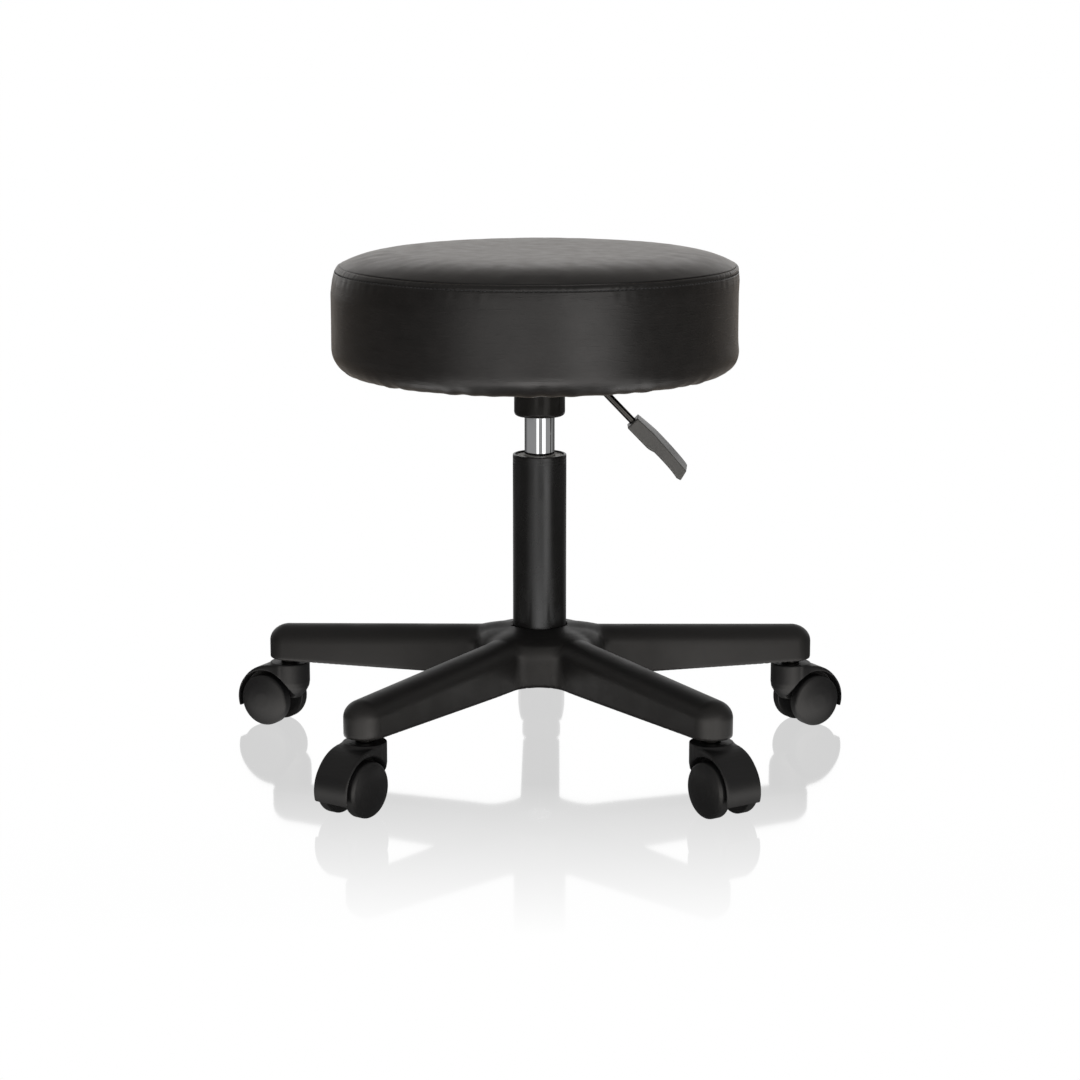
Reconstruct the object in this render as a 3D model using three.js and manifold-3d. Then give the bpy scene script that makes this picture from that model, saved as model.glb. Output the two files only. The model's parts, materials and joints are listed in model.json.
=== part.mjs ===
// Adjustable swivel stool: a round padded seat on a gas lift column, carried by a
// five-arm base on twin-wheel casters. Millimetres, +Z up, standing on z = 0.
import * as THREE from "three";
import { mergeVertices } from "three/addons/utils/BufferGeometryUtils.js";
import Module from "manifold-3d";

const wasm = await Module();
wasm.setup();

// ---------------------------------------------------------------- driving dimensions
const GAP = 0.3; // clearance kept between touching pieces
const WELD = 1e-4; // distance under which two vertices are one
const SIDES = { fine: 32, wheel: 20, medium: 16, small: 10 }; // facets of a turned piece, by its size

const ARM_COUNT = 5;
const ARM_FIRST_DEG = 18;
const ARM_STEP_DEG = 360 / ARM_COUNT;
const PIVOT_RADIUS = 256.4; // column axis to each caster stem

const BASE = {
  tipBottom: 66.4,
  hubBottom: 69,
  armHalfWidth: 19,
  armTipTop: 99.6,
  armHubTop: 116.8,
  armCrown: 16, // depth of the rounded top of an arm
  wall: 3.6,
  hubRadius: 60,
  hubTop: 118.4,
  sleeveRadius: 30.5,
  ribThickness: 3,
  ribRise: 6, // how far the ribs stop above the foot of the base
  stemBossRadius: 10.5,
  stemBoreRadius: 5.9,
  stemBoreTop: 94.5,
};

const COLUMN = { radius: 25, top: 281, bottom: 70, floor: 3.2, wall: 2.3, taper: 0.75 };
const ROD = { radius: 5, bottom: 63.5, top: 248, shoulderTop: 84 };
const TUBE = { radius: 14, wall: 1.4, bottom: 129.5, taperStart: 328, top: 343 };
const BUSH = { bottom: 221, top: 279.6 };

const LEVER = {
  z: 351,
  radius: 3.3,
  pivotX: 30,
  bendX: 48.8,
  dropDeg: 46.3,
  gripStart: 54.5, // distance from the bend to the grip, along the sloping part
  gripLength: 70,
  gripWidth: 22,
};

const PLATE = { bottom: 357.4, thickness: 2.5, half: 78, boltPitch: 60 };
const BOARD = { bottom: 361, thickness: 12, radius: 158 };
const CUP = { radius: 23.7, bottom: 316.8, top: 355.6, wall: 2, cornerRadius: 7.5 };

const SEAT = {
  offsetX: -4.5, // the cushion sits slightly off the column
  radius: 187.5,
  bottom: 358.4,
  cornerRadius: 23.5,
  seamRadius: 184.9,
  seamHeight: 457.7,
  crown: 13.1,
  flatRadius: 60,
  cover: 1.5,
  openingRadius: 140,
};

const CASTER = {
  trail: 18.5, // caster stem to axle
  wheelRadius: 25,
  wheelInner: 10.5,
  wheelOuter: 19.2,
  wheelDome: 24.2,
  webHalf: 7,
  hoodRadius: 31,
  hoodInner: 29.2,
  hoodHalf: 18.6,
  hoodLip: 20,
  neckRadius: 19,
  neckTop: 62,
  axleRadius: 3,
};
const CASTER_TURN_DEG = [29.5, 90, 153, 235, 303.5]; // way each caster trails, seen from above

const NYLON = { color: 0x17171a, roughness: 0.62, metalness: 0 };
const GLOSS = { color: 0x0b0b0c, roughness: 0.18, metalness: 0 };
const BLACK_STEEL = { color: 0x141416, roughness: 0.38, metalness: 0.6 };
const STEEL = { color: 0xc9ccd0, roughness: 0.2, metalness: 1 };
const ZINC = { color: 0xa9adb2, roughness: 0.4, metalness: 1 };
const BUSH_NYLON = { color: 0xdedbd2, roughness: 0.5, metalness: 0 };
const RUBBER = { color: 0x1c1c1c, roughness: 0.9, metalness: 0 };
const PLYWOOD = { color: 0xc19a64, roughness: 0.7, metalness: 0 };
const FOAM = { color: 0xe6dfc4, roughness: 0.95, metalness: 0 };
const LEATHERETTE = { color: 0x18171a, roughness: 0.5, metalness: 0 };
const CLOTH = { color: 0x222224, roughness: 0.95, metalness: 0 };
const GRIP = { color: 0x3a3b3d, roughness: 0.55, metalness: 0 };

const rad = THREE.MathUtils.degToRad;

// ---------------------------------------------------------------- solids
// Shared vertices merged, slivers dropped and faces turned outwards.
function closed(geometry) {
  const bare = geometry.clone();
  bare.deleteAttribute("normal");
  bare.deleteAttribute("uv");
  const welded = mergeVertices(bare, WELD);
  const points = welded.attributes.position;
  const corner = [new THREE.Vector3(), new THREE.Vector3(), new THREE.Vector3()];
  const faces = [];
  let volume = 0;
  for (let i = 0; i < welded.index.count; i += 3) {
    const face = [0, 1, 2].map((k) => welded.index.getX(i + k));
    if (new Set(face).size < 3) continue;
    face.forEach((vertex, k) => corner[k].fromBufferAttribute(points, vertex));
    volume += corner[0].dot(corner[1].cross(corner[2]));
    faces.push(face);
  }
  if (volume < 0) faces.forEach((face) => face.reverse());
  welded.setIndex(faces.flat());
  return welded;
}

function toManifold(geometry) {
  const solid = closed(geometry);
  return new wasm.Manifold(
    new wasm.Mesh({
      numProp: 3,
      vertProperties: new Float32Array(solid.attributes.position.array),
      triVerts: new Uint32Array(solid.index.array),
    }),
  );
}

function toGeometry(manifold) {
  const mesh = manifold.getMesh();
  const geometry = new THREE.BufferGeometry();
  geometry.setAttribute("position", new THREE.BufferAttribute(mesh.vertProperties, 3));
  geometry.setIndex(new THREE.BufferAttribute(mesh.triVerts, 1));
  return geometry;
}

const join = (...shapes) => shapes.map(toManifold).reduce((sum, shape) => sum.add(shape));
const cut = (body, ...tools) => tools.reduce((rest, tool) => rest.subtract(toManifold(tool)), body);

// A profile of [radius, height] points turned about the Z axis.
function turned(profile, sides = SIDES.fine, phase = 0) {
  const points = profile.map(([radius, height]) => new THREE.Vector2(radius, height));
  return new THREE.LatheGeometry(points, sides, phase).rotateX(Math.PI / 2);
}

function cylinder(radius, low, high, sides = SIDES.small) {
  return turned([[0, low], [radius, low], [radius, high], [0, high]], sides);
}

function ring(inner, outer, low, high, sides = SIDES.medium) {
  return turned([[inner, low], [outer, low], [outer, high], [inner, high], [inner, low]], sides);
}

function block(minimum, maximum) {
  const size = maximum.map((value, axis) => value - minimum[axis]);
  const centre = maximum.map((value, axis) => (value + minimum[axis]) / 2);
  return new THREE.BoxGeometry(...size).translate(...centre);
}

// A cylinder along Y between two Y values, about the point (x, z).
function crossCylinder(radius, low, high, x, z, sides = SIDES.small) {
  return cylinder(radius, low, high, sides).rotateX(-Math.PI / 2).translate(x, 0, z);
}

// A closed solid through rings of equal point counts, with a flat fan at each end.
function lofted(rings) {
  const count = rings[0].length;
  const positions = [];
  const faces = [];
  rings.forEach((loop) => loop.forEach((point) => positions.push(...point)));
  for (let level = 0; level + 1 < rings.length; level += 1) {
    for (let k = 0; k < count; k += 1) {
      const here = level * count + k;
      const next = level * count + ((k + 1) % count);
      faces.push(here, next, next + count, here, next + count, here + count);
    }
  }
  const top = (rings.length - 1) * count;
  for (let k = 1; k + 1 < count; k += 1) {
    faces.push(0, k + 1, k, top, top + k, top + k + 1);
  }
  const geometry = new THREE.BufferGeometry();
  geometry.setAttribute("position", new THREE.Float32BufferAttribute(positions, 3));
  geometry.setIndex(faces);
  return geometry;
}

// A 2D outline in the XZ plane, extruded to both sides of Y = 0.
function slab(shape, width, curveSegments = 8) {
  const solid = new THREE.ExtrudeGeometry(shape, { depth: width, bevelEnabled: false, curveSegments });
  return solid.rotateX(Math.PI / 2).translate(0, width / 2, 0);
}

function spokes(count, firstDeg, make) {
  return Array.from({ length: count }, (_, k) => make(k).rotateZ(rad(firstDeg + (k * 360) / count)));
}

// ---------------------------------------------------------------- assembly
const stool = new THREE.Group();

function place(group, name, shape, look) {
  const geometry = shape instanceof THREE.BufferGeometry ? closed(shape) : toGeometry(shape);
  const mesh = new THREE.Mesh(geometry, new THREE.MeshStandardMaterial(look));
  mesh.name = name;
  group.add(mesh);
}

// ---------------------------------------------------------------- star base
// Outline of one arm seen from above: a half round at the tip, another at the column axis.
function armOutline(inset) {
  const halfWidth = BASE.armHalfWidth - inset;
  const tipSteps = 8;
  const rootSteps = 2;
  const points = [];
  for (let k = 0; k <= tipSteps; k += 1) {
    const angle = rad(-90 + (180 * k) / tipSteps);
    points.push([PIVOT_RADIUS + halfWidth * Math.cos(angle), halfWidth * Math.sin(angle)]);
  }
  for (let k = 0; k <= rootSteps; k += 1) {
    const angle = rad(90 + (180 * k) / rootSteps);
    points.push([halfWidth * Math.cos(angle), halfWidth * Math.sin(angle)]);
  }
  return points;
}

// Height of an arm's top at a distance from the column axis, less a depth below it.
function armTop(x, depth) {
  const along = THREE.MathUtils.clamp(x / PIVOT_RADIUS, 0, 1);
  return THREE.MathUtils.lerp(BASE.armHubTop, BASE.armTipTop, along) - depth;
}

// Height of an arm's foot, which rises slightly towards the hub.
function armFoot(x) {
  const along = THREE.MathUtils.clamp(x / PIVOT_RADIUS, 0, 1);
  return THREE.MathUtils.lerp(BASE.hubBottom, BASE.tipBottom, along);
}

function armRing(inset, height) {
  return armOutline(inset).map(([x, y]) => [x, y, height(x)]);
}

function armSolid() {
  const edge = 2;
  const crownWidth = BASE.armHalfWidth - 1;
  const rings = [armRing(edge * 0.7, armFoot), armRing(0, (x) => armFoot(x) + edge)];
  for (let k = 0; k <= 3; k += 1) {
    const angle = rad(30 * k);
    const inset = crownWidth * (1 - Math.cos(angle));
    rings.push(armRing(inset, (x) => armTop(x, BASE.armCrown * (1 - Math.sin(angle)))));
  }
  return lofted(rings);
}

function armCavity() {
  const below = BASE.tipBottom - 5;
  const shoulder = BASE.armCrown + 1;
  return lofted([
    armRing(BASE.wall, () => below),
    armRing(BASE.wall, (x) => armTop(x, shoulder)),
    armRing(BASE.wall + 8, (x) => armTop(x, BASE.wall + 2)),
  ]);
}

// A plate standing along the X axis: an outline of [x, z] points, thickened to both sides.
function ribPlate(outline) {
  return slab(new THREE.Shape(outline.map(([x, z]) => new THREE.Vector2(x, z))), BASE.ribThickness);
}

// Stiffening rib along the middle of an arm, from the column sleeve to the caster boss.
function longRib() {
  const from = BASE.sleeveRadius - 2;
  const to = PIVOT_RADIUS - BASE.stemBossRadius + 2;
  const foot = BASE.hubBottom + BASE.ribRise;
  return ribPlate([[from, foot], [to, foot], [to, armTop(to, 2)], [from, armTop(from, 4)]]);
}

// Rib across an arm at a distance from the column axis.
function crossRib(x) {
  const side = BASE.armHalfWidth - 1.5;
  const crest = side / 2;
  const foot = armFoot(x) + BASE.ribRise;
  const shoulder = armTop(x, BASE.armCrown + 1);
  const top = armTop(x, 3);
  const outline = [
    [-side, foot],
    [side, foot],
    [side, shoulder],
    [crest, top],
    [-crest, top],
    [-side, shoulder],
  ];
  return () => ribPlate(outline).rotateZ(Math.PI / 2).translate(x, 0, 0);
}

// Short rib between two arms, from the column sleeve to the hub wall.
function hubRib() {
  const from = BASE.sleeveRadius - 2;
  const to = BASE.hubRadius - 1.5;
  const foot = BASE.hubBottom + BASE.ribRise;
  const top = BASE.hubTop - 14;
  return ribPlate([[from, foot], [to, foot], [to, top], [from, top + 6]]);
}

function stemBoss() {
  const { stemBossRadius, tipBottom } = BASE;
  const boss = cylinder(stemBossRadius, tipBottom, armTop(PIVOT_RADIUS, 4), SIDES.medium);
  return boss.translate(PIVOT_RADIUS, 0, 0);
}

function starBase() {
  const { hubBottom, tipBottom, hubRadius, hubTop, sleeveRadius, wall, stemBoreRadius, stemBoreTop } = BASE;
  const pocket = hubRadius - wall;
  const hub = turned(
    [
      [0, hubBottom],
      [hubRadius - 2, hubBottom],
      [hubRadius, hubBottom + 3],
      [hubRadius, 100],
      [hubRadius - 2, 107],
      [hubRadius - 9, 112.5],
      [34, 115.8],
      [28, hubTop],
      [0, hubTop],
    ],
    SIDES.fine,
  );
  const hubCavity = turned([[0, tipBottom], [pocket, tipBottom], [pocket, 102], [45, 109], [0, 111]]);
  const outer = join(hub, ...spokes(ARM_COUNT, ARM_FIRST_DEG, armSolid));
  const shell = cut(outer, hubCavity, ...spokes(ARM_COUNT, ARM_FIRST_DEG, armCavity));

  const inArm = [longRib, stemBoss, crossRib(PIVOT_RADIUS * 0.43), crossRib(PIVOT_RADIUS * 0.68)];
  const inside = join(
    cylinder(sleeveRadius, hubBottom, hubTop - 5, SIDES.fine),
    ...inArm.flatMap((make) => spokes(ARM_COUNT, ARM_FIRST_DEG, make)),
    ...spokes(ARM_COUNT, ARM_FIRST_DEG + ARM_STEP_DEG / 2, hubRib),
  );

  const bore = (z) => columnRadius(z) + GAP;
  const [low, high] = [tipBottom - 6, hubTop + 2];
  const columnBore = turned([[0, low], [bore(low), low], [bore(high), high], [0, high]]);
  const stemBore = () => cylinder(stemBoreRadius, low, stemBoreTop).translate(PIVOT_RADIUS, 0, 0);
  return cut(shell.add(inside), columnBore, ...spokes(ARM_COUNT, ARM_FIRST_DEG, stemBore));
}

// ---------------------------------------------------------------- column and gas lift
// The column tapers slightly where it wedges into the hub.
function columnRadius(z) {
  const depth = Math.max(BASE.hubTop - z, 0) / (BASE.hubTop - COLUMN.bottom);
  return COLUMN.radius - COLUMN.taper * depth;
}

function columnTube() {
  const { radius, top, bottom, floor, wall } = COLUMN;
  const inner = radius - wall;
  const hole = ROD.radius + 1;
  return turned(
    [
      [hole, bottom],
      [columnRadius(bottom), bottom],
      [radius, BASE.hubTop],
      [radius, top - 1.2],
      [radius - 0.9, top],
      [inner, top],
      [inner, bottom + floor],
      [hole, bottom + floor],
      [hole, bottom],
    ],
    SIDES.fine,
  );
}

function guideBush() {
  const outer = COLUMN.radius - COLUMN.wall - GAP;
  const inner = TUBE.radius + 0.5;
  const { bottom, top } = BUSH;
  const chamfer = 2;
  return turned([
    [inner, bottom],
    [outer, bottom],
    [outer, top],
    [inner + chamfer, top],
    [inner, top - chamfer],
    [inner, bottom],
  ]);
}

function pistonRod() {
  const { radius, bottom, top, shoulderTop } = ROD;
  const groove = radius - 0.8;
  const spigot = radius - 1;
  return turned(
    [
      [0, bottom],
      [radius - 0.6, bottom],
      [radius, bottom + 0.6],
      [radius, bottom + 1.8],
      [groove, bottom + 1.8],
      [groove, bottom + 3.6],
      [radius, bottom + 3.6],
      [radius, shoulderTop - 1.8],
      [radius + 4, shoulderTop - 1.8],
      [radius + 4, shoulderTop],
      [radius, shoulderTop],
      [radius, top - 12],
      [spigot, top - 12],
      [spigot, top],
      [0, top],
    ],
    SIDES.small,
  );
}

function retainingClip() {
  const bottom = ROD.bottom + 2.2;
  const clip = toManifold(ring(ROD.radius - 0.5, ROD.radius + 4, bottom, bottom + 1));
  return cut(clip, block([0, -2.6, bottom - 1], [20, 2.6, bottom + 2]));
}

// The thrust bearing's balls are held in one cage, shown as a ring of joined balls.
function ballCage(low) {
  const balls = 8;
  const track = 10.5;
  const cage = toManifold(ring(7.6, 13.4, low + 1, low + 2.8));
  const ball = () => new THREE.IcosahedronGeometry(1.9, 0).translate(track, 0, low + 1.9);
  return spokes(balls, 0, ball).reduce((sum, shape) => sum.add(toManifold(shape)), cage);
}

function addGasLift(group) {
  const aboveFloor = COLUMN.bottom + COLUMN.floor + GAP;
  const bore = ROD.radius + 0.4;
  const race = 2;
  const cageLow = aboveFloor + race + GAP;
  const upperRace = cageLow + 3.8 + GAP;
  place(group, "column_tube", columnTube(), BLACK_STEEL);
  place(group, "guide_bush", guideBush(), BUSH_NYLON);
  place(group, "bearing_race_lower", ring(bore + 1, 14, aboveFloor, aboveFloor + race), STEEL);
  place(group, "bearing_ball_cage", ballCage(cageLow), STEEL);
  place(group, "bearing_race_upper", ring(bore, 14, upperRace, upperRace + race), STEEL);
  place(group, "piston_rod", pistonRod(), STEEL);
  place(group, "bump_stop", ring(bore, 12.5, ROD.shoulderTop + GAP, ROD.shoulderTop + 10), RUBBER);
  place(group, "piston_head", ring(ROD.radius - 0.7, 12.1, ROD.top - 11.7, ROD.top - 1), ZINC);
  place(group, "end_washer", ring(bore, 12, COLUMN.bottom - 2.6, COLUMN.bottom - GAP), ZINC);
  place(group, "retaining_clip", retainingClip(), ZINC);
}

function pressureTube() {
  const { radius, wall, bottom, taperStart, top } = TUBE;
  const inner = radius - wall;
  const pinHole = 4.4;
  return turned(
    [
      [inner, bottom],
      [radius - 0.6, bottom],
      [radius, bottom + 1],
      [radius, taperStart],
      [radius - 0.8, top],
      [pinHole, top],
      [pinHole, top - 3],
      [inner, top - 3],
      [inner, bottom],
    ],
    SIDES.fine,
  );
}

function releasePin() {
  const { top } = TUBE;
  const tip = LEVER.z - LEVER.radius - GAP;
  return turned(
    [
      [0, top - 21],
      [4, top - 21],
      [4, top + 1],
      [2.5, top + 2.2],
      [2.5, tip],
      [0, tip],
    ],
    SIDES.small,
  );
}

function addPressureTube(group) {
  const { radius, wall, bottom, top } = TUBE;
  const fit = radius - wall - GAP;
  place(group, "pressure_tube", pressureTube(), STEEL);
  place(group, "rod_guide", ring(ROD.radius + 0.4, fit, bottom + 0.5, bottom + 14), BUSH_NYLON);
  place(group, "valve_body", ring(4.5, fit, top - 26, top - 3 - GAP), ZINC);
  place(group, "release_pin", releasePin(), STEEL);
}

// ---------------------------------------------------------------- seat mechanism
const leverSlot = (outer) => block([0, -5, LEVER.z - LEVER.radius - 6.5], [outer, 5, PLATE.bottom + 1]);

function taperSocket() {
  const low = CUP.bottom + CUP.cornerRadius + GAP;
  const grip = TUBE.radius - 0.8 + GAP + 0.1;
  const mouth = TUBE.radius + GAP + 0.1;
  const outer = TUBE.radius + 4;
  const socket = turned(
    [
      [mouth, low],
      [outer, low],
      [outer, CUP.top],
      [grip, CUP.top],
      [grip, TUBE.top],
      [mouth, TUBE.taperStart],
      [mouth, low],
    ],
    SIDES.fine,
  );
  return cut(toManifold(socket), leverSlot(30));
}

function socketCover() {
  const { radius, bottom, top, wall, cornerRadius } = CUP;
  const hole = TUBE.radius + 0.6;
  const arc = (r) =>
    Array.from({ length: 4 }, (_, k) => {
      const angle = rad(-90 + 30 * k);
      const middle = [radius - cornerRadius, bottom + cornerRadius];
      return [middle[0] + r * Math.cos(angle), middle[1] + r * Math.sin(angle)];
    });
  const cup = turned(
    [
      [hole, bottom],
      ...arc(cornerRadius),
      [radius, top],
      [radius - wall, top],
      ...arc(cornerRadius - wall).reverse(),
      [hole, bottom + wall],
      [hole, bottom],
    ],
    SIDES.fine,
  );
  return cut(toManifold(cup), leverSlot(30));
}

const boltPlaces = [[1, 1], [-1, 1], [-1, -1], [1, -1]].map((side) => side.map((s) => s * PLATE.boltPitch));

function mountingPlate() {
  const { half, thickness, bottom } = PLATE;
  const corner = 14;
  const shape = new THREE.Shape();
  shape.moveTo(half - corner, -half);
  [[1, -1], [1, 1], [-1, 1], [-1, -1]].forEach(([sx, sy], k) => {
    shape.absarc(sx * (half - corner), sy * (half - corner), corner, rad(90 * k - 90), rad(90 * k), false);
  });
  shape.holes = boltPlaces.map(([x, y]) => new THREE.Path().absarc(x, y, 3.5, 0, 2 * Math.PI, true));
  const options = { depth: thickness, bevelEnabled: false, curveSegments: 4 };
  return new THREE.ExtrudeGeometry(shape, options).translate(0, 0, bottom);
}

function leverBracket() {
  const { pivotX, z } = LEVER;
  const saddleLow = z - 9.6;
  const top = PLATE.bottom - GAP;
  const body = toManifold(block([pivotX - 5, -8, saddleLow], [pivotX + 5, 8, top]));
  const throat = block([pivotX - 8, -5.6, saddleLow + 2], [pivotX + 8, 5.6, top + 1]);
  return cut(body, throat, crossCylinder(2.4, -12, 12, pivotX, z));
}

function pivotPin() {
  const profile = [[0, -10], [3.4, -10], [3.4, -8.4], [2, -8.4], [2, 9.6], [0, 9.6]];
  return turned(profile, SIDES.small).rotateX(-Math.PI / 2).translate(LEVER.pivotX, 0, LEVER.z);
}

// Centre line of the lever: level over the release pin, then sloping down to the grip.
function leverPath() {
  const slope = rad(LEVER.dropDeg);
  const along = (d) => new THREE.Vector3(LEVER.bendX + d * Math.cos(slope), 0, LEVER.z - d * Math.sin(slope));
  const bend = 6;
  const inner = new THREE.Vector3(-2.2, 0, LEVER.z);
  const bendStart = new THREE.Vector3(LEVER.bendX - bend, 0, LEVER.z);
  const path = new THREE.CurvePath();
  path.add(new THREE.LineCurve3(inner, bendStart));
  path.add(new THREE.QuadraticBezierCurve3(bendStart, along(0), along(bend)));
  path.add(new THREE.LineCurve3(along(bend), along(LEVER.gripStart + 20)));
  return { path, along };
}

function leverRod() {
  const sides = 10;
  const { path } = leverPath();
  const section = new THREE.Shape(
    Array.from({ length: sides }, (_, k) => {
      const angle = (2 * Math.PI * (k + 0.5)) / sides;
      return new THREE.Vector2(LEVER.radius * Math.cos(angle), LEVER.radius * Math.sin(angle));
    }),
  );
  const rod = new THREE.ExtrudeGeometry(section, { steps: 18, extrudePath: path });
  const eye = crossCylinder(5.2, -4.8, 4.8, LEVER.pivotX, LEVER.z, 16);
  return cut(join(rod, eye), crossCylinder(2.5, -10, 10, LEVER.pivotX, LEVER.z));
}

// Side view of the grip: along the lever from its root, and across it (up is positive).
function leverGrip() {
  const { gripLength, gripWidth, gripStart, radius, dropDeg } = LEVER;
  const shape = new THREE.Shape();
  shape.moveTo(0, -6);
  shape.quadraticCurveTo(gripLength * 0.4, -6, gripLength * 0.55, -5);
  shape.quadraticCurveTo(gripLength * 0.8, -5, gripLength * 0.94, -6.6);
  shape.lineTo(gripLength, -5.2);
  shape.lineTo(gripLength * 0.95, 7.6);
  shape.quadraticCurveTo(gripLength * 0.8, 10, gripLength * 0.62, 10.6);
  shape.quadraticCurveTo(gripLength * 0.4, 10.4, 0, 6);
  const paddle = slab(shape, gripWidth, 5);
  const socket = cylinder(radius + GAP, -5, 21).rotateY(Math.PI / 2);
  const root = leverPath().along(gripStart);
  return cut(toManifold(paddle), socket)
    .rotate([0, dropDeg, 0])
    .translate([root.x, root.y, root.z]);
}

function addMechanism(group) {
  place(group, "taper_socket", taperSocket(), BLACK_STEEL);
  place(group, "socket_cover", socketCover(), GLOSS);
  place(group, "mounting_plate", mountingPlate(), BLACK_STEEL);
  place(group, "lever_bracket", leverBracket(), BLACK_STEEL);
  place(group, "lever_pivot_pin", pivotPin(), ZINC);
  place(group, "lever_rod", leverRod(), BLACK_STEEL);
  place(group, "lever_grip", leverGrip(), GRIP);
}

// ---------------------------------------------------------------- seat
// Outside of the cushion from its centre top down to its underside, set in by a distance.
function cushionOutline(inset, openingRadius) {
  const { radius, bottom, cornerRadius, seamRadius, seamHeight, crown, flatRadius } = SEAT;
  const roundness = 7.4;
  const rim = seamRadius - inset;
  const crownAt = (share) => seamHeight - inset + crown * (1 - share ** roundness);
  const points = [[0, crownAt(0)], [flatRadius, crownAt(0)]];
  [0.76, 0.88, 0.96].forEach((share) => points.push([share * rim, crownAt(share)]));
  points.push([rim, seamHeight - inset]);
  points.push([rim + 1.4, seamHeight - inset - 5]);
  points.push([radius - inset, seamHeight - 22]);
  for (let k = 0; k <= 4; k += 1) {
    const angle = rad(-22.5 * k);
    const r = cornerRadius - inset;
    points.push([radius - cornerRadius + r * Math.cos(angle), bottom + cornerRadius + r * Math.sin(angle)]);
  }
  points.push([openingRadius, bottom + inset]);
  return points;
}

function seatCover() {
  const { cover, openingRadius } = SEAT;
  return turned([...cushionOutline(0, openingRadius), ...cushionOutline(cover, openingRadius).reverse()]);
}

// The foam lies on the board and wraps down around its edge.
function seatFoam() {
  const recess = BOARD.radius + 1;
  const outline = cushionOutline(SEAT.cover + GAP, recess);
  const overBoard = BOARD.bottom + BOARD.thickness + 2.2;
  return turned([...outline, [recess, overBoard], [0, overBoard]]);
}

// The board's holes take the barrels of the T-nuts.
function seatBoard() {
  const { bottom, thickness, radius } = BOARD;
  const top = bottom + thickness;
  const hole = ([x, y]) => cylinder(4.9, bottom - 1, top + 1).translate(x - SEAT.offsetX, y, 0);
  return cut(toManifold(cylinder(radius, bottom, top, SIDES.fine)), ...boltPlaces.map(hole));
}

function dustCover() {
  const low = BOARD.bottom - 0.8;
  const cloth = toManifold(ring(20, SEAT.openingRadius - 1, low, BOARD.bottom - GAP, SIDES.fine));
  const hole = ([x, y]) => cylinder(4, low - 1, low + 2).translate(x - SEAT.offsetX, y, 0);
  return cut(cloth, ...boltPlaces.map(hole));
}

function seatBolt() {
  const under = PLATE.bottom - GAP;
  const end = BOARD.bottom + BOARD.thickness;
  const head = under - 3.6;
  return turned(
    [
      [0, head],
      [4.4, head],
      [5.6, head + 1.2],
      [5.6, under],
      [3, under],
      [3, end],
      [0, end],
    ],
    SIDES.small,
  );
}

function tNut() {
  const top = BOARD.bottom + BOARD.thickness + GAP;
  const [bore, barrel, flange] = [3.3, 4.3, 9];
  return turned(
    [
      [bore, top - 9],
      [barrel, top - 9],
      [barrel, top],
      [flange, top],
      [flange, top + 1.4],
      [bore, top + 1.4],
      [bore, top - 9],
    ],
    SIDES.small,
  );
}

function addSeat(group) {
  const cushion = new THREE.Group();
  cushion.position.x = SEAT.offsetX;
  group.add(cushion);
  place(cushion, "seat_board", seatBoard(), PLYWOOD);
  place(cushion, "seat_foam", seatFoam(), FOAM);
  place(cushion, "seat_cover", seatCover(), LEATHERETTE);
  place(cushion, "dust_cover", dustCover(), CLOTH);
  boltPlaces.forEach(([x, y], k) => {
    place(group, `seat_bolt_${k + 1}`, seatBolt().translate(x, y, 0), ZINC);
    place(group, `t_nut_${k + 1}`, tNut().translate(x, y, 0), ZINC);
  });
}

// ---------------------------------------------------------------- casters
// Each caster is built with its stem on the Z axis and its wheels trailing along +X.
function hoodOutline() {
  const { trail, wheelRadius, hoodRadius, hoodLip } = CASTER;
  const axle = new THREE.Vector2(trail, wheelRadius);
  const lipAngle = Math.asin((hoodLip - axle.y) / hoodRadius);
  const joinAngle = rad(35);
  const onHood = (angle) => [axle.x + hoodRadius * Math.cos(angle), axle.y + hoodRadius * Math.sin(angle)];
  const shape = new THREE.Shape();
  shape.moveTo(2, 30);
  shape.lineTo(axle.x - 6, 18.5);
  shape.lineTo(axle.x + 6, 18.5);
  shape.lineTo(...onHood(lipAngle));
  shape.absarc(axle.x, axle.y, hoodRadius, lipAngle, joinAngle, false);
  shape.quadraticCurveTo(32.5, 59.5, 12, 60);
  shape.lineTo(2, 60);
  return shape;
}

function casterBody() {
  const { trail, wheelRadius, hoodHalf, hoodInner, webHalf, neckRadius, neckTop, axleRadius } = CASTER;
  const neck = turned(
    [
      [0, 27],
      [10, 27],
      [15.5, 33],
      [18.2, 38],
      [neckRadius, 43],
      [neckRadius, neckTop - 0.8],
      [neckRadius - 0.8, neckTop],
      [0, neckTop],
    ],
    SIDES.wheel,
  );
  const far = hoodHalf + 10;
  const pockets = [[webHalf, far], [-far, -webHalf]].map(([low, high]) =>
    crossCylinder(hoodInner, low, high, trail, wheelRadius, 24),
  );
  const axleBore = crossCylinder(axleRadius + GAP, -far, far, trail, wheelRadius);
  const stemBore = cylinder(5.4, 43.5, neckTop + 5);
  return cut(join(neck, slab(hoodOutline(), 2 * hoodHalf)), ...pockets, axleBore, stemBore);
}

function casterStem() {
  const collar = CASTER.neckTop + GAP;
  const shoulder = BASE.tipBottom - GAP;
  return turned(
    [
      [0, 44],
      [5, 44],
      [5, collar],
      [9, collar],
      [9, shoulder],
      [5.5, shoulder],
      [5.5, 92],
      [4, 94],
      [0, 94],
    ],
    SIDES.small,
  );
}

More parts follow.
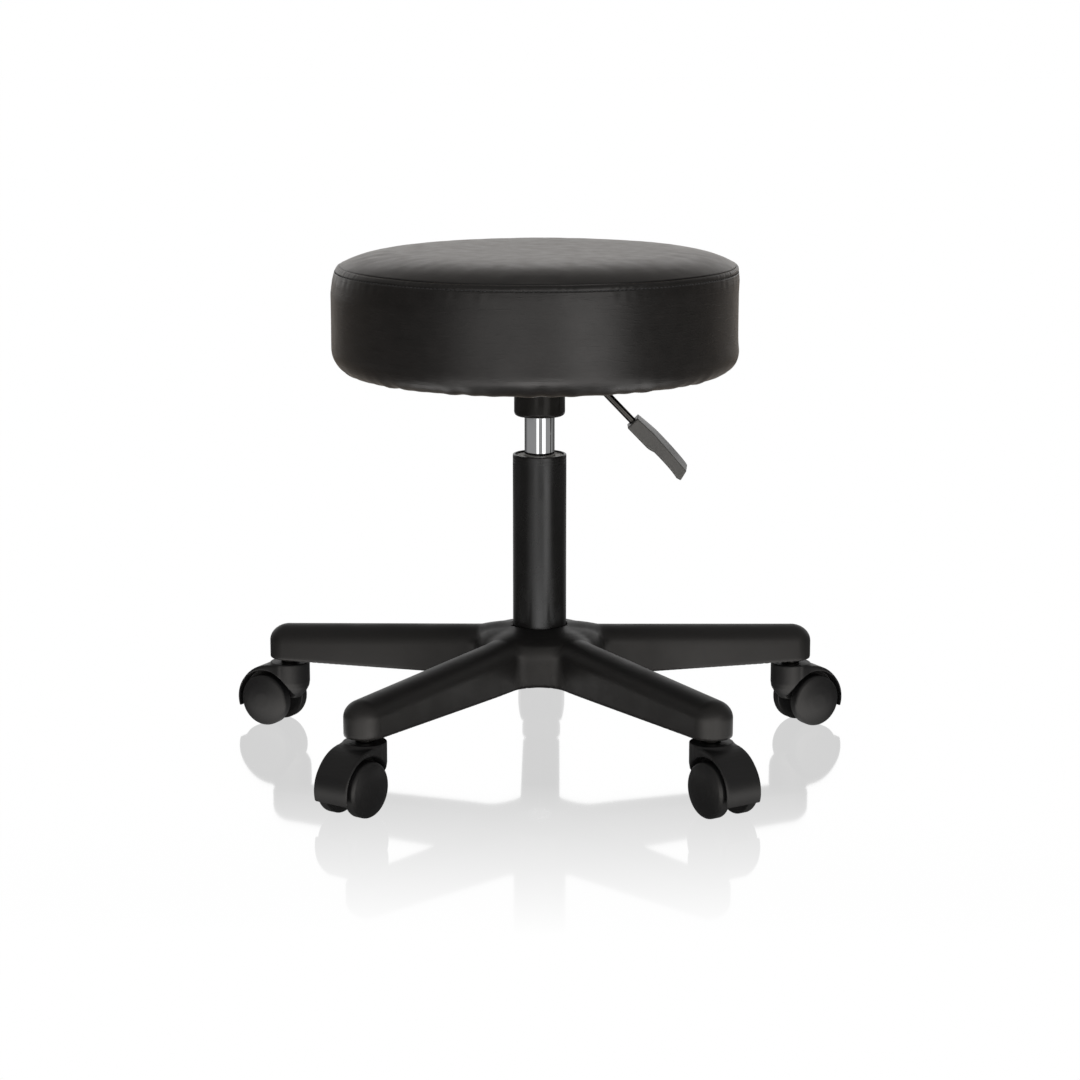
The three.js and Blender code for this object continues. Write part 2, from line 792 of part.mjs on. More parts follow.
// The outside face is the domed one; the wheel's axis is Y and its dome points to +Y.
function casterWheel() {
  const { wheelRadius, wheelInner, wheelOuter, wheelDome, webHalf, axleRadius } = CASTER;
  const sides = SIDES.wheel;
  const outer = wheelRadius / Math.cos(Math.PI / sides); // flats, not corners, touch the floor
  const hubFace = webHalf + GAP;
  const bore = axleRadius + 0.5;
  return turned(
    [
      [0, wheelDome],
      [outer * 0.65, wheelDome - 0.8],
      [outer * 0.93, wheelOuter + 2.2],
      [outer, wheelOuter],
      [outer, wheelInner],
      [outer - 5, wheelInner],
      [8, wheelInner + 3],
      [8, hubFace],
      [bore, hubFace],
      [bore, wheelOuter + 1],
      [0, wheelOuter + 1],
    ],
    sides,
    Math.PI / sides,
  ).rotateX(-Math.PI / 2);
}

function addCaster(number, armDeg, turnDeg) {
  const { trail, wheelRadius, wheelOuter, axleRadius } = CASTER;
  const axle = crossCylinder(axleRadius, -wheelOuter, wheelOuter, trail, wheelRadius);
  const caster = new THREE.Group();
  const arm = rad(armDeg);
  caster.position.set(PIVOT_RADIUS * Math.cos(arm), PIVOT_RADIUS * Math.sin(arm), 0);
  caster.rotation.z = rad(turnDeg);
  stool.add(caster);
  place(caster, `caster_body_${number}`, casterBody(), NYLON);
  place(caster, `caster_stem_${number}`, casterStem(), ZINC);
  place(caster, `caster_axle_${number}`, axle, ZINC);
  ["left", "right"].forEach((side, k) => {
    const wheel = casterWheel().rotateZ(k * Math.PI).translate(trail, 0, wheelRadius);
    place(caster, `wheel_${side}_${number}`, wheel, NYLON);
  });
}

place(stool, "star_base", starBase(), NYLON);
addGasLift(stool);
addPressureTube(stool);
addMechanism(stool);
addSeat(stool);
CASTER_TURN_DEG.forEach((turnDeg, k) => addCaster(k + 1, ARM_FIRST_DEG + k * ARM_STEP_DEG, turnDeg));

// The origin is the middle of the footprint, which the single rear arm moves off the column.
const footprint = new THREE.Box3().setFromObject(stool, true);
const middle = footprint.getCenter(new THREE.Vector3());
stool.position.set(-middle.x, -middle.y, 0);

export default stool;
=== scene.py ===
"""Adjustable swivel stool: the visual model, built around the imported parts. Metres, +Z up."""

import json
import math

import bpy
import numpy as np
from mathutils import Matrix, Vector
from mathutils.bvhtree import BVHTree


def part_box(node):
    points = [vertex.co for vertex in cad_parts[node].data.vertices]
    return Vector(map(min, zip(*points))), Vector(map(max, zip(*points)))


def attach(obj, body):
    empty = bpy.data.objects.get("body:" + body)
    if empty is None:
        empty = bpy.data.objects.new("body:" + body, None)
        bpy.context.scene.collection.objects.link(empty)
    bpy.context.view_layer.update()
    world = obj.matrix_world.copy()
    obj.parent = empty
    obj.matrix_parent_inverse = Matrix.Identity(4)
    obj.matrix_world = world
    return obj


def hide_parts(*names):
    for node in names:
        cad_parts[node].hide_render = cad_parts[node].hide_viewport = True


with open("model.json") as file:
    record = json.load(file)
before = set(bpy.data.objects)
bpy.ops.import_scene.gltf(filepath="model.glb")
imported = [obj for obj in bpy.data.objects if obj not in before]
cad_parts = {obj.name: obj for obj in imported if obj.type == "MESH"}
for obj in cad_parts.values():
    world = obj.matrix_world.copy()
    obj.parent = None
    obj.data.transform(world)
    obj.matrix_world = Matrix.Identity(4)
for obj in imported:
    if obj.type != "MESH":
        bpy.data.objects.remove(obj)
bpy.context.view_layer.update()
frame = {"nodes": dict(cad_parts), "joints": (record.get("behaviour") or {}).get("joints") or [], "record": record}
MM = 0.001
JOINTS = {joint["name"]: joint for joint in frame["joints"]}
AXIS = Vector(JOINTS["seat_swivel"]["pos_m"]).xy.to_3d()  # the column axis, on the floor
CASTERS = range(1, 6)
PIVOTS = [Vector(JOINTS[f"caster_swivel_{k}"]["pos_m"]).xy.to_3d() for k in CASTERS]
SEAT_RADIUS = 187.5 * MM

rng = np.random.default_rng(7)


def low(node):
    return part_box(node)[0]


def high(node):
    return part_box(node)[1]


def half_width(node):
    """Half the extent of a node across Y, which the facets of a turned one reach exactly."""
    return (high(node).y - low(node).y) / 2


SEAM_Z = high("seat_cover").z - 13.5 * MM  # where the top panel is sewn to the band


# ---- meshes
def add_mesh(name, points, faces, material, flat_angle=40):
    """A closed piece with its faces outwards, creased where they meet at more than flat_angle degrees."""
    mesh = bpy.data.meshes.new(name)
    mesh.from_pydata(np.asarray(points).tolist(), [], [list(map(int, face)) for face in faces])
    mesh.validate()
    mesh.polygons.foreach_set("use_smooth", np.ones(len(mesh.polygons), bool))
    mesh.set_sharp_from_angle(angle=math.radians(flat_angle))
    turn_outwards(mesh)
    mesh.materials.append(material)
    piece = bpy.data.objects.new(name, mesh)
    bpy.context.scene.collection.objects.link(piece)
    return piece


def rounded(corners, steps=4):
    """A profile of (radius, height, fillet) corners, with a small curve in place of each corner."""
    points = []
    ends = (0, len(corners) - 1)
    for k, (r, z, fillet) in enumerate(corners):
        here = np.array([r, z])
        if fillet == 0 or k in ends:
            points.append(here)
            continue
        before = np.array(corners[k - 1][:2]) - here
        after = np.array(corners[k + 1][:2]) - here
        lengths = np.linalg.norm(before), np.linalg.norm(after)
        reach = min(fillet, 0.48 * min(lengths))
        start = here + before / lengths[0] * reach
        end = here + after / lengths[1] * reach
        points += [start, *curve_points(start, here, end, steps)]
    return np.array(points)


def turned(name, profile, material, segments=64, flat_angle=40):
    """A profile turned about Z. It starts and ends on the axis, or closes on itself."""
    closed = profile[0][0] > 1e-6
    rings = profile[:-1] if closed else profile
    turns = np.arange(segments) * 2 * math.pi / segments
    points, index = [], []
    for r, z in rings:
        if r < 1e-6:
            index.append([len(points)] * segments)
            points.append((0, 0, z))
        else:
            index.append([len(points) + k for k in range(segments)])
            points.extend((r * math.cos(a), r * math.sin(a), z) for a in turns)
    pairs = list(zip(index, index[1:] + index[:1] if closed else index[1:]))
    faces = []
    for inner, outer in pairs:
        for k in range(segments):
            n = (k + 1) % segments
            faces.append(list(dict.fromkeys([inner[k], inner[n], outer[n], outer[k]])))
    return add_mesh(name, points, faces, material, flat_angle)


def turn_outwards(mesh):
    mesh.calc_loop_triangles()
    count = len(mesh.loop_triangles)
    corners = np.empty(count * 3, np.int32)
    mesh.loop_triangles.foreach_get("vertices", corners)
    co = coordinates(mesh)[corners].reshape(-1, 3, 3)
    if np.einsum("ij,ij->i", co[:, 0], np.cross(co[:, 1], co[:, 2])).sum() < 0:
        mesh.flip_normals()


def coordinates(mesh):
    co = np.empty(len(mesh.vertices) * 3, np.float32)
    mesh.vertices.foreach_get("co", co)
    return co.reshape(-1, 3).astype(float)


def surface(name, field, lowest, highest, step, material, flat_angle=60):
    """A smooth closed surface where field(x, y, z) is zero, negative inside, as a net of quads."""
    lowest, highest = np.array(lowest) - 2 * step, np.array(highest) + 2 * step
    axes = [np.arange(lowest[a], highest[a] + step, step) for a in range(3)]
    values = np.stack([field(axes[0][:, None], axes[1][None, :], z) for z in axes[2]], axis=2)
    inside = values < 0
    cells = tuple(n - 1 for n in values.shape)
    total = np.zeros(cells + (3,))
    crossings = np.zeros(cells)
    for axis in range(3):
        a, b = neighbours(values, axis)
        crossed = (a < 0) != (b < 0)
        share = np.where(crossed, a / np.where(crossed, a - b, 1), 0)
        others = [k for k in range(3) if k != axis]
        for i in (0, 1):
            for j in (0, 1):
                window = [slice(None)] * 3
                window[others[0]] = slice(i, i + cells[others[0]])
                window[others[1]] = slice(j, j + cells[others[1]])
                hit = crossed[tuple(window)]
                crossings += hit
                total[..., axis] += share[tuple(window)]
                total[..., others[0]] += hit * i
                total[..., others[1]] += hit * j
    used = crossings > 0
    number = np.full(cells, -1)
    number[used] = np.arange(used.sum())
    corner = np.argwhere(used)
    points = lowest + (corner + total[used] / crossings[used][:, None]) * step
    quads = np.concatenate([quads_across(inside, number, axis) for axis in range(3)])
    settle(points, quads, field, step)
    return add_mesh(name, points, quads, material, flat_angle)


def settle(points, quads, field, step):
    """Evens out a net's points and brings them back onto the surface, by turns."""
    for _ in range(5):
        points += 0.5 * (neighbour_means(points, quads) - points)
        for _ in range(2):
            value, slope = value_and_slope(field, points, step / 8)
            steepness = np.maximum((slope**2).sum(axis=1, keepdims=True), 0.25)
            move = -value[:, None] * slope / steepness
            length = np.linalg.norm(move, axis=1, keepdims=True)
            points += move * np.minimum(1, 0.4 * step / np.maximum(length, 1e-12))


def neighbours(grid, axis):
    """The values of a grid, and the values one cell further along an axis."""
    here = [slice(None)] * 3
    ahead = [slice(None)] * 3
    here[axis], ahead[axis] = slice(0, -1), slice(1, None)
    return grid[tuple(here)], grid[tuple(ahead)]


def neighbour_means(points, quads):
    """The mean of each point's neighbours along the edges of a net of quads."""
    start = quads.ravel()
    end = np.roll(quads, -1, axis=1).ravel()
    total = len(points)
    count = np.bincount(start, minlength=total) + np.bincount(end, minlength=total)
    sums = [
        np.bincount(start, points[end, axis], total) + np.bincount(end, points[start, axis], total)
        for axis in range(3)
    ]
    return np.stack(sums, axis=1) / np.maximum(count, 1)[:, None]


def value_and_slope(field, points, reach):
    """A field and its gradient at scattered points."""
    slope = np.empty_like(points)
    for axis in range(3):
        shift = np.eye(3)[axis] * reach
        ahead, behind = field(*(points + shift).T), field(*(points - shift).T)
        slope[:, axis] = (ahead - behind) / (2 * reach)
    return field(*points.T), slope


def quads_across(inside, number, axis):
    """The quads of a surface net around each crossed grid edge along one axis."""
    a, b = neighbours(inside, axis)
    edge = np.argwhere(a != b)
    enters = b[tuple(edge.T)]
    u, v = [k for k in range(3) if k != axis]
    corners = []
    for du, dv in ((1, 1), (0, 1), (0, 0), (1, 0)):
        cell = edge.copy()
        cell[:, u] -= du
        cell[:, v] -= dv
        corners.append(number[tuple(cell.T)])
    quads = np.stack(corners, axis=1)
    flip = enters ^ (axis == 1)
    quads[flip] = quads[flip][:, ::-1]
    return quads


def soft_min(a, b, radius):
    """The lesser of two fields, with the crease between them filled to about a radius."""
    overlap = np.maximum(radius - np.abs(a - b), 0) / radius
    return np.minimum(a, b) - overlap**2 * radius / 4


def soft_max(a, b, radius):
    return -soft_min(-a, -b, radius)


def bell(x, centre, width):
    return np.exp(-(((x - centre) / width) ** 2))


def outline_distance(outline, x, z):
    """Signed distance from points to a closed 2D outline, negative inside."""
    nearest = np.full(np.broadcast(x, z).shape, np.inf)
    crossed = np.zeros(nearest.shape, bool)
    for (x0, z0), (x1, z1) in zip(outline, np.roll(outline, -1, axis=0)):
        dx, dz = x1 - x0, z1 - z0
        t = np.clip(((x - x0) * dx + (z - z0) * dz) / (dx * dx + dz * dz), 0, 1)
        nearest = np.minimum(nearest, np.hypot(x - x0 - t * dx, z - z0 - t * dz))
        rising = (z0 > z) != (z1 > z)
        side = x < x0 + (z - z0) * dx / (dz if dz else 1)
        crossed ^= rising & side
    return np.where(crossed, -nearest, nearest)


def curve_points(start, control, end, steps=8):
    """Points along a quadratic curve, without its first."""
    start, control, end = map(np.array, (start, control, end))
    t = np.linspace(0, 1, steps + 1)[1:, None]
    return ((1 - t) ** 2 * start + 2 * t * (1 - t) * control + t**2 * end).tolist()


# ---- shader nodes
def calculated(tree, operation, *values):
    """A Math node on numbers or sockets."""
    node = tree.nodes.new("ShaderNodeMath")
    node.operation = operation
    for socket, value in zip(node.inputs, values):
        if isinstance(value, (int, float)):
            socket.default_value = value
        else:
            tree.links.new(value, socket)
    return node.outputs[0]


def ranged(tree, value, low_in, high_in, low_out=0, high_out=1, interpolation="LINEAR"):
    """A value taken from one range to another, and held at the ends."""
    node = tree.nodes.new("ShaderNodeMapRange")
    node.interpolation_type = interpolation
    tree.links.new(value, node.inputs["Value"])
    limits = {"From Min": low_in, "From Max": high_in, "To Min": low_out, "To Max": high_out}
    for key, limit in limits.items():
        node.inputs[key].default_value = limit
    return node.outputs[0]


def ramp_between(tree, value, start, end):
    """0 at start rising smoothly to 1 at end, whichever of the two is greater."""
    return ranged(tree, value, start, end, interpolation="SMOOTHSTEP")


def within(tree, value, start, end, edge):
    """1 while a value is between start and end, with edges that wide."""
    rising = ramp_between(tree, value, start - edge / 2, start + edge / 2)
    falling = ramp_between(tree, value, end + edge / 2, end - edge / 2)
    return calculated(tree, "MULTIPLY", rising, falling)


def blended(tree, share, start, end):
    """From start to end as a share goes from 0 to 1."""
    return calculated(tree, "MULTIPLY_ADD", share, calculated(tree, "SUBTRACT", end, start), start)


def shaded_point(tree, kind="Object"):
    """The X, Y and Z of the point being shaded, in one kind of coordinates."""
    split = tree.nodes.new("ShaderNodeSeparateXYZ")
    tree.links.new(tree.nodes.new("ShaderNodeTexCoord").outputs[kind], split.inputs[0])
    return split.outputs


# ---- materials
class Look:
    """A Principled material with procedural detail, placed in the object's own metres."""

    def __init__(self, name, color, roughness, metallic=0.0, **sockets):
        self.material = bpy.data.materials.new(name)
        self.material.use_nodes = True
        self.tree = self.material.node_tree
        self.shader = self.tree.nodes["Principled BSDF"]
        self.shader.inputs["Metallic"].default_value = metallic
        for socket, value in sockets.items():
            self.shader.inputs[socket.replace("_", " ")].default_value = value
        self.place = self.node("ShaderNodeTexCoord").outputs["Object"]
        self.base = color
        self.shader.inputs["Base Color"].default_value = (*color, 1)
        self.shader.inputs["Roughness"].default_value = roughness
        self.height = None

    def node(self, kind, **settings):
        made = self.tree.nodes.new(kind)
        for key, value in settings.items():
            setattr(made, key, value)
        return made

    def link(self, source, target):
        self.tree.links.new(source, target)

    def around(self, radius):
        """Coordinates that wrap a turned surface about the column: arc length and height."""
        x, y, z = shaded_point(self.tree)
        dx = calculated(self.tree, "SUBTRACT", x, AXIS.x)
        dy = calculated(self.tree, "SUBTRACT", AXIS.y, y)
        arc = calculated(self.tree, "MULTIPLY", calculated(self.tree, "ARCTAN2", dx, dy), radius)
        joined = self.node("ShaderNodeCombineXYZ")
        self.link(arc, joined.inputs[0])
        self.link(z, joined.inputs[1])
        return joined.outputs[0]

    def noise(self, scale, detail=3, stretch=(1, 1, 1), place=None, roughness=0.5, distortion=0.0):
        made = self.node("ShaderNodeTexNoise")
        made.inputs["Scale"].default_value = scale
        made.inputs["Detail"].default_value = detail
        made.inputs["Roughness"].default_value = roughness
        made.inputs["Distortion"].default_value = distortion
        stretched = self.node("ShaderNodeMapping")
        stretched.inputs["Scale"].default_value = stretch
        self.link(place or self.place, stretched.inputs["Vector"])
        self.link(stretched.outputs[0], made.inputs["Vector"])
        return made.outputs["Fac"]

    def cells(self, scale, feature="DISTANCE_TO_EDGE"):
        made = self.node("ShaderNodeTexVoronoi", feature=feature)
        made.inputs["Scale"].default_value = scale
        self.link(self.place, made.inputs["Vector"])
        return made.outputs["Distance"]

    def vary_roughness(self, value, lowest, highest):
        self.link(ranged(self.tree, value, 0.3, 0.7, lowest, highest), self.shader.inputs["Roughness"])

    def vary_color(self, value, color, low_in=0.35, high_in=0.7):
        mix = self.node("ShaderNodeMix", data_type="RGBA")
        self.link(ranged(self.tree, value, low_in, high_in), mix.inputs["Factor"])
        colors = [socket for socket in mix.inputs if socket.type == "RGBA"]
        colors[0].default_value = (*self.base, 1)
        colors[1].default_value = (*color, 1)
        self.link(next(s for s in mix.outputs if s.type == "RGBA"), self.shader.inputs["Base Color"])

    def bump(self, value, depth, strength=1.0):
        """Adds relief of a depth in metres to what is there already."""
        made = self.node("ShaderNodeBump")
        made.inputs["Strength"].default_value = strength
        made.inputs["Distance"].default_value = depth
        self.link(value, made.inputs["Height"])
        if self.height is not None:
            self.link(self.height, made.inputs["Normal"])
        self.height = made.outputs[0]
        self.link(self.height, self.shader.inputs["Normal"])


def moulded_plastic(name, color, roughness, grain=0.03 * MM, spread=0.06, specular=0.5):
    """Fine-grained plastic whose gloss and colour drift a little."""
    look = Look(name, color, roughness, Specular_IOR_Level=specular)
    look.shader.inputs["Specular Tint"].default_value = (1, 0.96, 0.92, 1)
    look.vary_roughness(look.noise(35, 4), roughness - spread, roughness + spread)
    look.vary_color(look.noise(14, 5, roughness=0.6), tuple(1.35 * c for c in color))
    look.bump(look.cells(1700, feature="F1"), grain, 0.35)
    look.bump(look.noise(120, 2), grain, 0.15)
    return look.material


def leatherette():
    look = Look("leatherette", (0.0068, 0.0062, 0.0058), 0.34, Sheen_Weight=0.11, Sheen_Roughness=0.35)
    look.shader.inputs["Specular Tint"].default_value = (1, 0.97, 0.95, 1)
    look.shader.inputs["Sheen Tint"].default_value = (1, 0.72, 0.46, 1)
    wrinkles = look.noise(300, 3, (0.16, 1.25, 1), look.around(SEAT_RADIUS), 0.55, 0.3)
    below_seam = ranged(look.tree, shaded_point(look.tree)[2], SEAM_Z - 3 * MM, SEAM_Z - 8 * MM)
    creases = calculated(look.tree, "MULTIPLY", ranged(look.tree, wrinkles, 0.52, 0.8), below_seam)
    look.vary_roughness(look.noise(70, 4), 0.31, 0.38)
    look.vary_color(look.noise(45, 5, roughness=0.65), (0.0115, 0.0104, 0.0097))
    look.bump(look.noise(14, 2), 0.3 * MM, 0.08)
    look.bump(creases, 0.3 * MM, 0.5)
    look.bump(look.cells(820), 0.1 * MM, 0.5)
    look.bump(look.noise(2600, 2), 0.03 * MM, 0.4)
    return look.material


def thread():
    look = Look("thread", (0.016, 0.015, 0.015), 0.6, Sheen_Weight=0.15)
    look.bump(look.noise(3000, 2, (1, 1, 4)), 0.08 * MM, 0.8)
    look.vary_roughness(look.noise(900, 2), 0.5, 0.75)
    return look.material


def painted_steel(name, color, roughness, metallic=0.0):
    look = Look(name, color, roughness, metallic)
    look.vary_roughness(look.noise(45, 4), roughness - 0.05, roughness + 0.07)
    look.vary_color(look.noise(30, 5), tuple(1.4 * c for c in color))
    look.bump(look.noise(420, 3), 0.02 * MM, 0.2)
    return look.material


def polished_steel():
    look = Look("polished_steel", (0.78, 0.785, 0.79), 0.035, 1.0)
    lines = look.noise(60, 3, (0.4, 60, 1), look.around(0.014))
    look.vary_roughness(lines, 0.02, 0.05)
    look.vary_color(look.noise(25, 3), (0.7, 0.71, 0.72))
    look.bump(lines, 0.004 * MM, 0.1)
    return look.material


def zinc_plate():
    look = Look("zinc_plate", (0.6, 0.61, 0.62), 0.32, 1.0)
    look.vary_roughness(look.noise(90, 4), 0.25, 0.45)
    look.vary_color(look.cells(260, feature="F1"), (0.5, 0.52, 0.55), 0.2, 0.8)
    look.bump(look.noise(700, 2), 0.02 * MM, 0.4)
    return look.material


def plywood():
    look = Look("plywood", (0.5, 0.34, 0.19), 0.6)
    rings = look.noise(9, 6, (1, 12, 30), distortion=1.5)
    look.vary_color(rings, (0.62, 0.47, 0.3))
    look.vary_roughness(rings, 0.5, 0.72)
    look.bump(rings, 0.12 * MM, 0.5)
    return look.material


def plain_weave():
    look = Look("dust_cloth", (0.017, 0.017, 0.018), 0.9, Sheen_Weight=0.2)
    look.vary_color(look.noise(420, 4, roughness=0.7), (0.035, 0.035, 0.037))
    look.vary_roughness(look.noise(60, 2), 0.82, 0.95)
    look.bump(look.noise(1300, 3, roughness=0.7), 0.15 * MM, 0.8)
    return look.material


def foam():
    look = Look("foam", (0.75, 0.68, 0.48), 0.95)
    look.vary_color(look.noise(300, 3), (0.6, 0.53, 0.36))
    look.vary_roughness(look.noise(80, 2), 0.9, 1.0)
    look.bump(look.cells(900, feature="F1"), 0.4 * MM, 0.7)
    return look.material


BASE_COLOR = (0.0085, 0.008, 0.0076)
SLOTS = {
    "base_nylon": moulded_plastic("base_nylon", BASE_COLOR, 0.47, 0.05 * MM),
    "caster_nylon": moulded_plastic("caster_nylon", (0.007, 0.007, 0.0072), 0.42),
    "column_steel": painted_steel("column_paint", (0.0042, 0.0038, 0.0034), 0.25),
    "black_steel": painted_steel("black_nickel", (0.055, 0.052, 0.048), 0.14, 1.0),
    "bright_steel": polished_steel(),
    "zinc_steel": zinc_plate(),
    "bush_nylon": moulded_plastic("bush_nylon", (0.62, 0.6, 0.55), 0.45),
    "bump_rubber": moulded_plastic("bump_rubber", (0.02, 0.02, 0.02), 0.8, 0.08 * MM),
    "cup_plastic": moulded_plastic("cup_plastic", (0.01, 0.0094, 0.0086), 0.16, 0.005 * MM, 0.03, 0.14),
    "grip_plastic": moulded_plastic("grip_plastic", (0.066, 0.064, 0.06), 0.34, 0.05 * MM),
    "plywood": plywood(),
    "foam": foam(),
    "leatherette": leatherette(),
    "dust_cloth": plain_weave(),
}
THREAD = thread()
SLOT_OF = {part["node"]: part["material_slot"] for part in frame["record"]["subparts"]}


def finish_cad_nodes():
    for node, slot in SLOT_OF.items():
        frame["nodes"][node].material_slots[0].material = SLOTS[slot]


def extent(node):
    """The radius, bottom and top of an upright turned node."""
    return half_width(node), low(node).z, high(node).z


def stands_for(piece, body, *nodes, slot=None):
    """piece rides on a body in place of CAD nodes, which it hides. The slot argument is not used."""
    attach(piece, body)
    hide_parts(*nodes)
    return piece


# ---- star base
ARM_FIRST = math.radians(18)
ARM_STEP = math.radians(72)
PIVOT_RADIUS = (PIVOTS[1] - AXIS).length
ARM_HALF = 19 * MM
CROWN = 16 * MM
WALL = 3.6 * MM
HUB_RADIUS = 60 * MM
TIP_TOP, HUB_END_TOP = 99.6 * MM, 117.8 * MM
TIP_FOOT, HUB_FOOT = low("star_base").z, 69 * MM
HUB_TOP = high("star_base").z
RIB_FOOT = HUB_FOOT + 6 * MM
HUB_RISE = MM * np.array(
    [(0, 118.4), (26, 118.4), (28, 117.6), (34, 116.4), (44, 114.8), (51, 112.6), (56, 109.5), (60, 104)]
)  # radius and height of the hub's top
SLEEVE_RADIUS = 30.5 * MM  # the sleeve that grips the column
BOSS_RADIUS = 10.5 * MM  # the boss that holds a caster stem
STEM_BORE, STEM_BORE_TOP = 5.9 * MM, 94.5 * MM
ARCH, ARCH_HALF = 2.6 * MM, 17 * MM  # the hub's foot rises a little between the arms


def along_arm(u, hub_value, tip_value):
    """A value that goes from the hub's to the tip's along an arm."""
    return hub_value + (tip_value - hub_value) * np.clip(u / PIVOT_RADIUS, 0, 1)


def arm_field(u, v, z, wall):
    """One arm: upright sides, a round end and a round crown, set in by a wall thickness."""
    half = ARM_HALF - wall
    crown = CROWN - wall * 0.6
    across = np.hypot(v, np.maximum(u - PIVOT_RADIUS, 0))
    shoulder = along_arm(u, HUB_END_TOP, TIP_TOP) - wall * 1.3 - crown
    return (np.hypot(across / half, np.maximum(z - shoulder, 0) / crown) - 1) * half


def hub_field(r, z, wall):
    """The hub: a round drum under a low cone."""
    top = np.interp(r, HUB_RISE[:, 0], HUB_RISE[:, 1])
    return soft_max(r - HUB_RADIUS + wall, (z - top + wall) * 0.8, 6 * MM)


def rib_field(u, v, r, fold, z):
    """The ribs, the column sleeve and the caster boss under the shell."""
    half_rib = 1.5 * MM
    long_rib = np.maximum(np.abs(v) - half_rib, u - PIVOT_RADIUS + 8 * MM)
    cross_ribs = np.minimum(np.abs(u - 0.43 * PIVOT_RADIUS), np.abs(u - 0.68 * PIVOT_RADIUS)) - half_rib
    cross_ribs = np.maximum(cross_ribs, np.abs(v) - ARM_HALF)
    between = np.abs(r * np.sin(ARM_STEP / 2 - np.abs(fold)))
    hub_rib = np.maximum(between - half_rib, r - HUB_RADIUS + WALL / 2)
    ribs = np.maximum(np.minimum(np.minimum(long_rib, cross_ribs), hub_rib), RIB_FOOT - z)
    sleeve = r - SLEEVE_RADIUS
    boss = np.hypot(u - PIVOT_RADIUS, v) - BOSS_RADIUS
    return soft_min(soft_min(ribs, sleeve, 2 * MM), boss, 2 * MM)


def base_field(x, y, z):
    """The whole moulding, from one arm repeated by folding the angle round the column."""
    r = np.hypot(x, y)
    turn = np.arctan2(y, x) - ARM_FIRST
    fold = turn - ARM_STEP * np.round(turn / ARM_STEP)
    beside = ARM_STEP / 2 - np.abs(fold)
    u, v = r * np.cos(fold), r * np.sin(fold)
    arch = ARCH * bell(r * np.sin(beside), 0, ARCH_HALF)
    foot = along_arm(u, HUB_FOOT, TIP_FOOT) + arch - z
    outer = soft_min(arm_field(u, v, z, 0), hub_field(r, z, 0), 8 * MM)
    outer = soft_max(outer, foot, 2.5 * MM)
    hollow = np.minimum(arm_field(u, v, z, WALL), hub_field(r, z, WALL))
    shell = np.maximum(outer, -hollow)
    whole = np.minimum(shell, np.maximum(np.maximum(rib_field(u, v, r, fold, z), outer), foot))
    column_bore = half_width("column_tube") + 0.3 * MM - r
    stem_bore = np.minimum(STEM_BORE - np.hypot(u - PIVOT_RADIUS, v), STEM_BORE_TOP - z)
    return np.maximum(np.maximum(whole, column_bore), stem_bore)


def star_base():
    reach = PIVOT_RADIUS + ARM_HALF
    lowest, highest = (-reach, -reach, TIP_FOOT), (reach, reach, HUB_TOP)
    piece = surface("base_moulding", base_field, lowest, highest, 1.85 * MM, SLOTS["base_nylon"])
    piece.location = AXIS
    stands_for(piece, "base", "star_base")


# ---- column and lift
def upright(name, body, node, corners, segments=72):
    """A turned piece on the column axis in place of a CAD node. Its profile closes on its first corner."""
    piece = turned(name, rounded([*corners, corners[0]]), SLOTS[SLOT_OF[node]], segments)
    piece.location = AXIS
    return stands_for(piece, body, node)


def column():
    """The painted tube: a floor with a hole in it, and two fine grooves near the top."""
    outer, bottom, top = extent("column_tube")
    inner, hole, floor_top = outer - 2.3 * MM, 6 * MM, bottom + 3.2 * MM
    corners = [(hole, bottom, 0), (outer - 0.75 * MM, bottom, 0.9 * MM), (outer, HUB_TOP, 0)]
    for drop in (7.2 * MM, 4.4 * MM):
        corners += [
            (outer, top - drop - 0.4 * MM, 0.3 * MM),
            (outer - 0.15 * MM, top - drop, 0.2 * MM),
            (outer, top - drop + 0.4 * MM, 0.3 * MM),
        ]
    corners += [
        (outer, top, 1.2 * MM),
        (inner, top, 0.6 * MM),
        (inner, floor_top, 0.9 * MM),
        (hole, floor_top, 0.4 * MM),
    ]
    upright("column_outer", "base", "column_tube", corners, 96)


def bush():
    outer, bottom, top = extent("guide_bush")
    inner = half_width("pressure_tube") + 0.5 * MM
    corners = [(inner, bottom, 0), (outer, bottom, 0.5 * MM), (outer, top, 0.8 * MM), (inner, top, 2 * MM)]
    upright("guide_bush_ring", "base", "guide_bush", corners)


def lift_tube():
    """The polished tube, tapered at its top, with a hole there for the release pin."""
    outer, bottom, top = extent("pressure_tube")
    inner, pin_hole = outer - 1.4 * MM, 4.4 * MM
    corners = [
        (inner, bottom, 0),
        (outer, bottom, 1 * MM),
        (outer, top - 15 * MM, 0.5 * MM),
        (outer - 0.8 * MM, top, 0.6 * MM),
        (pin_hole, top, 0.4 * MM),
        (pin_hole, top - 3 * MM, 0.4 * MM),
        (inner, top - 3 * MM, 0.4 * MM),
    ]
    upright("lift_tube_polished", "seat", "pressure_tube", corners)


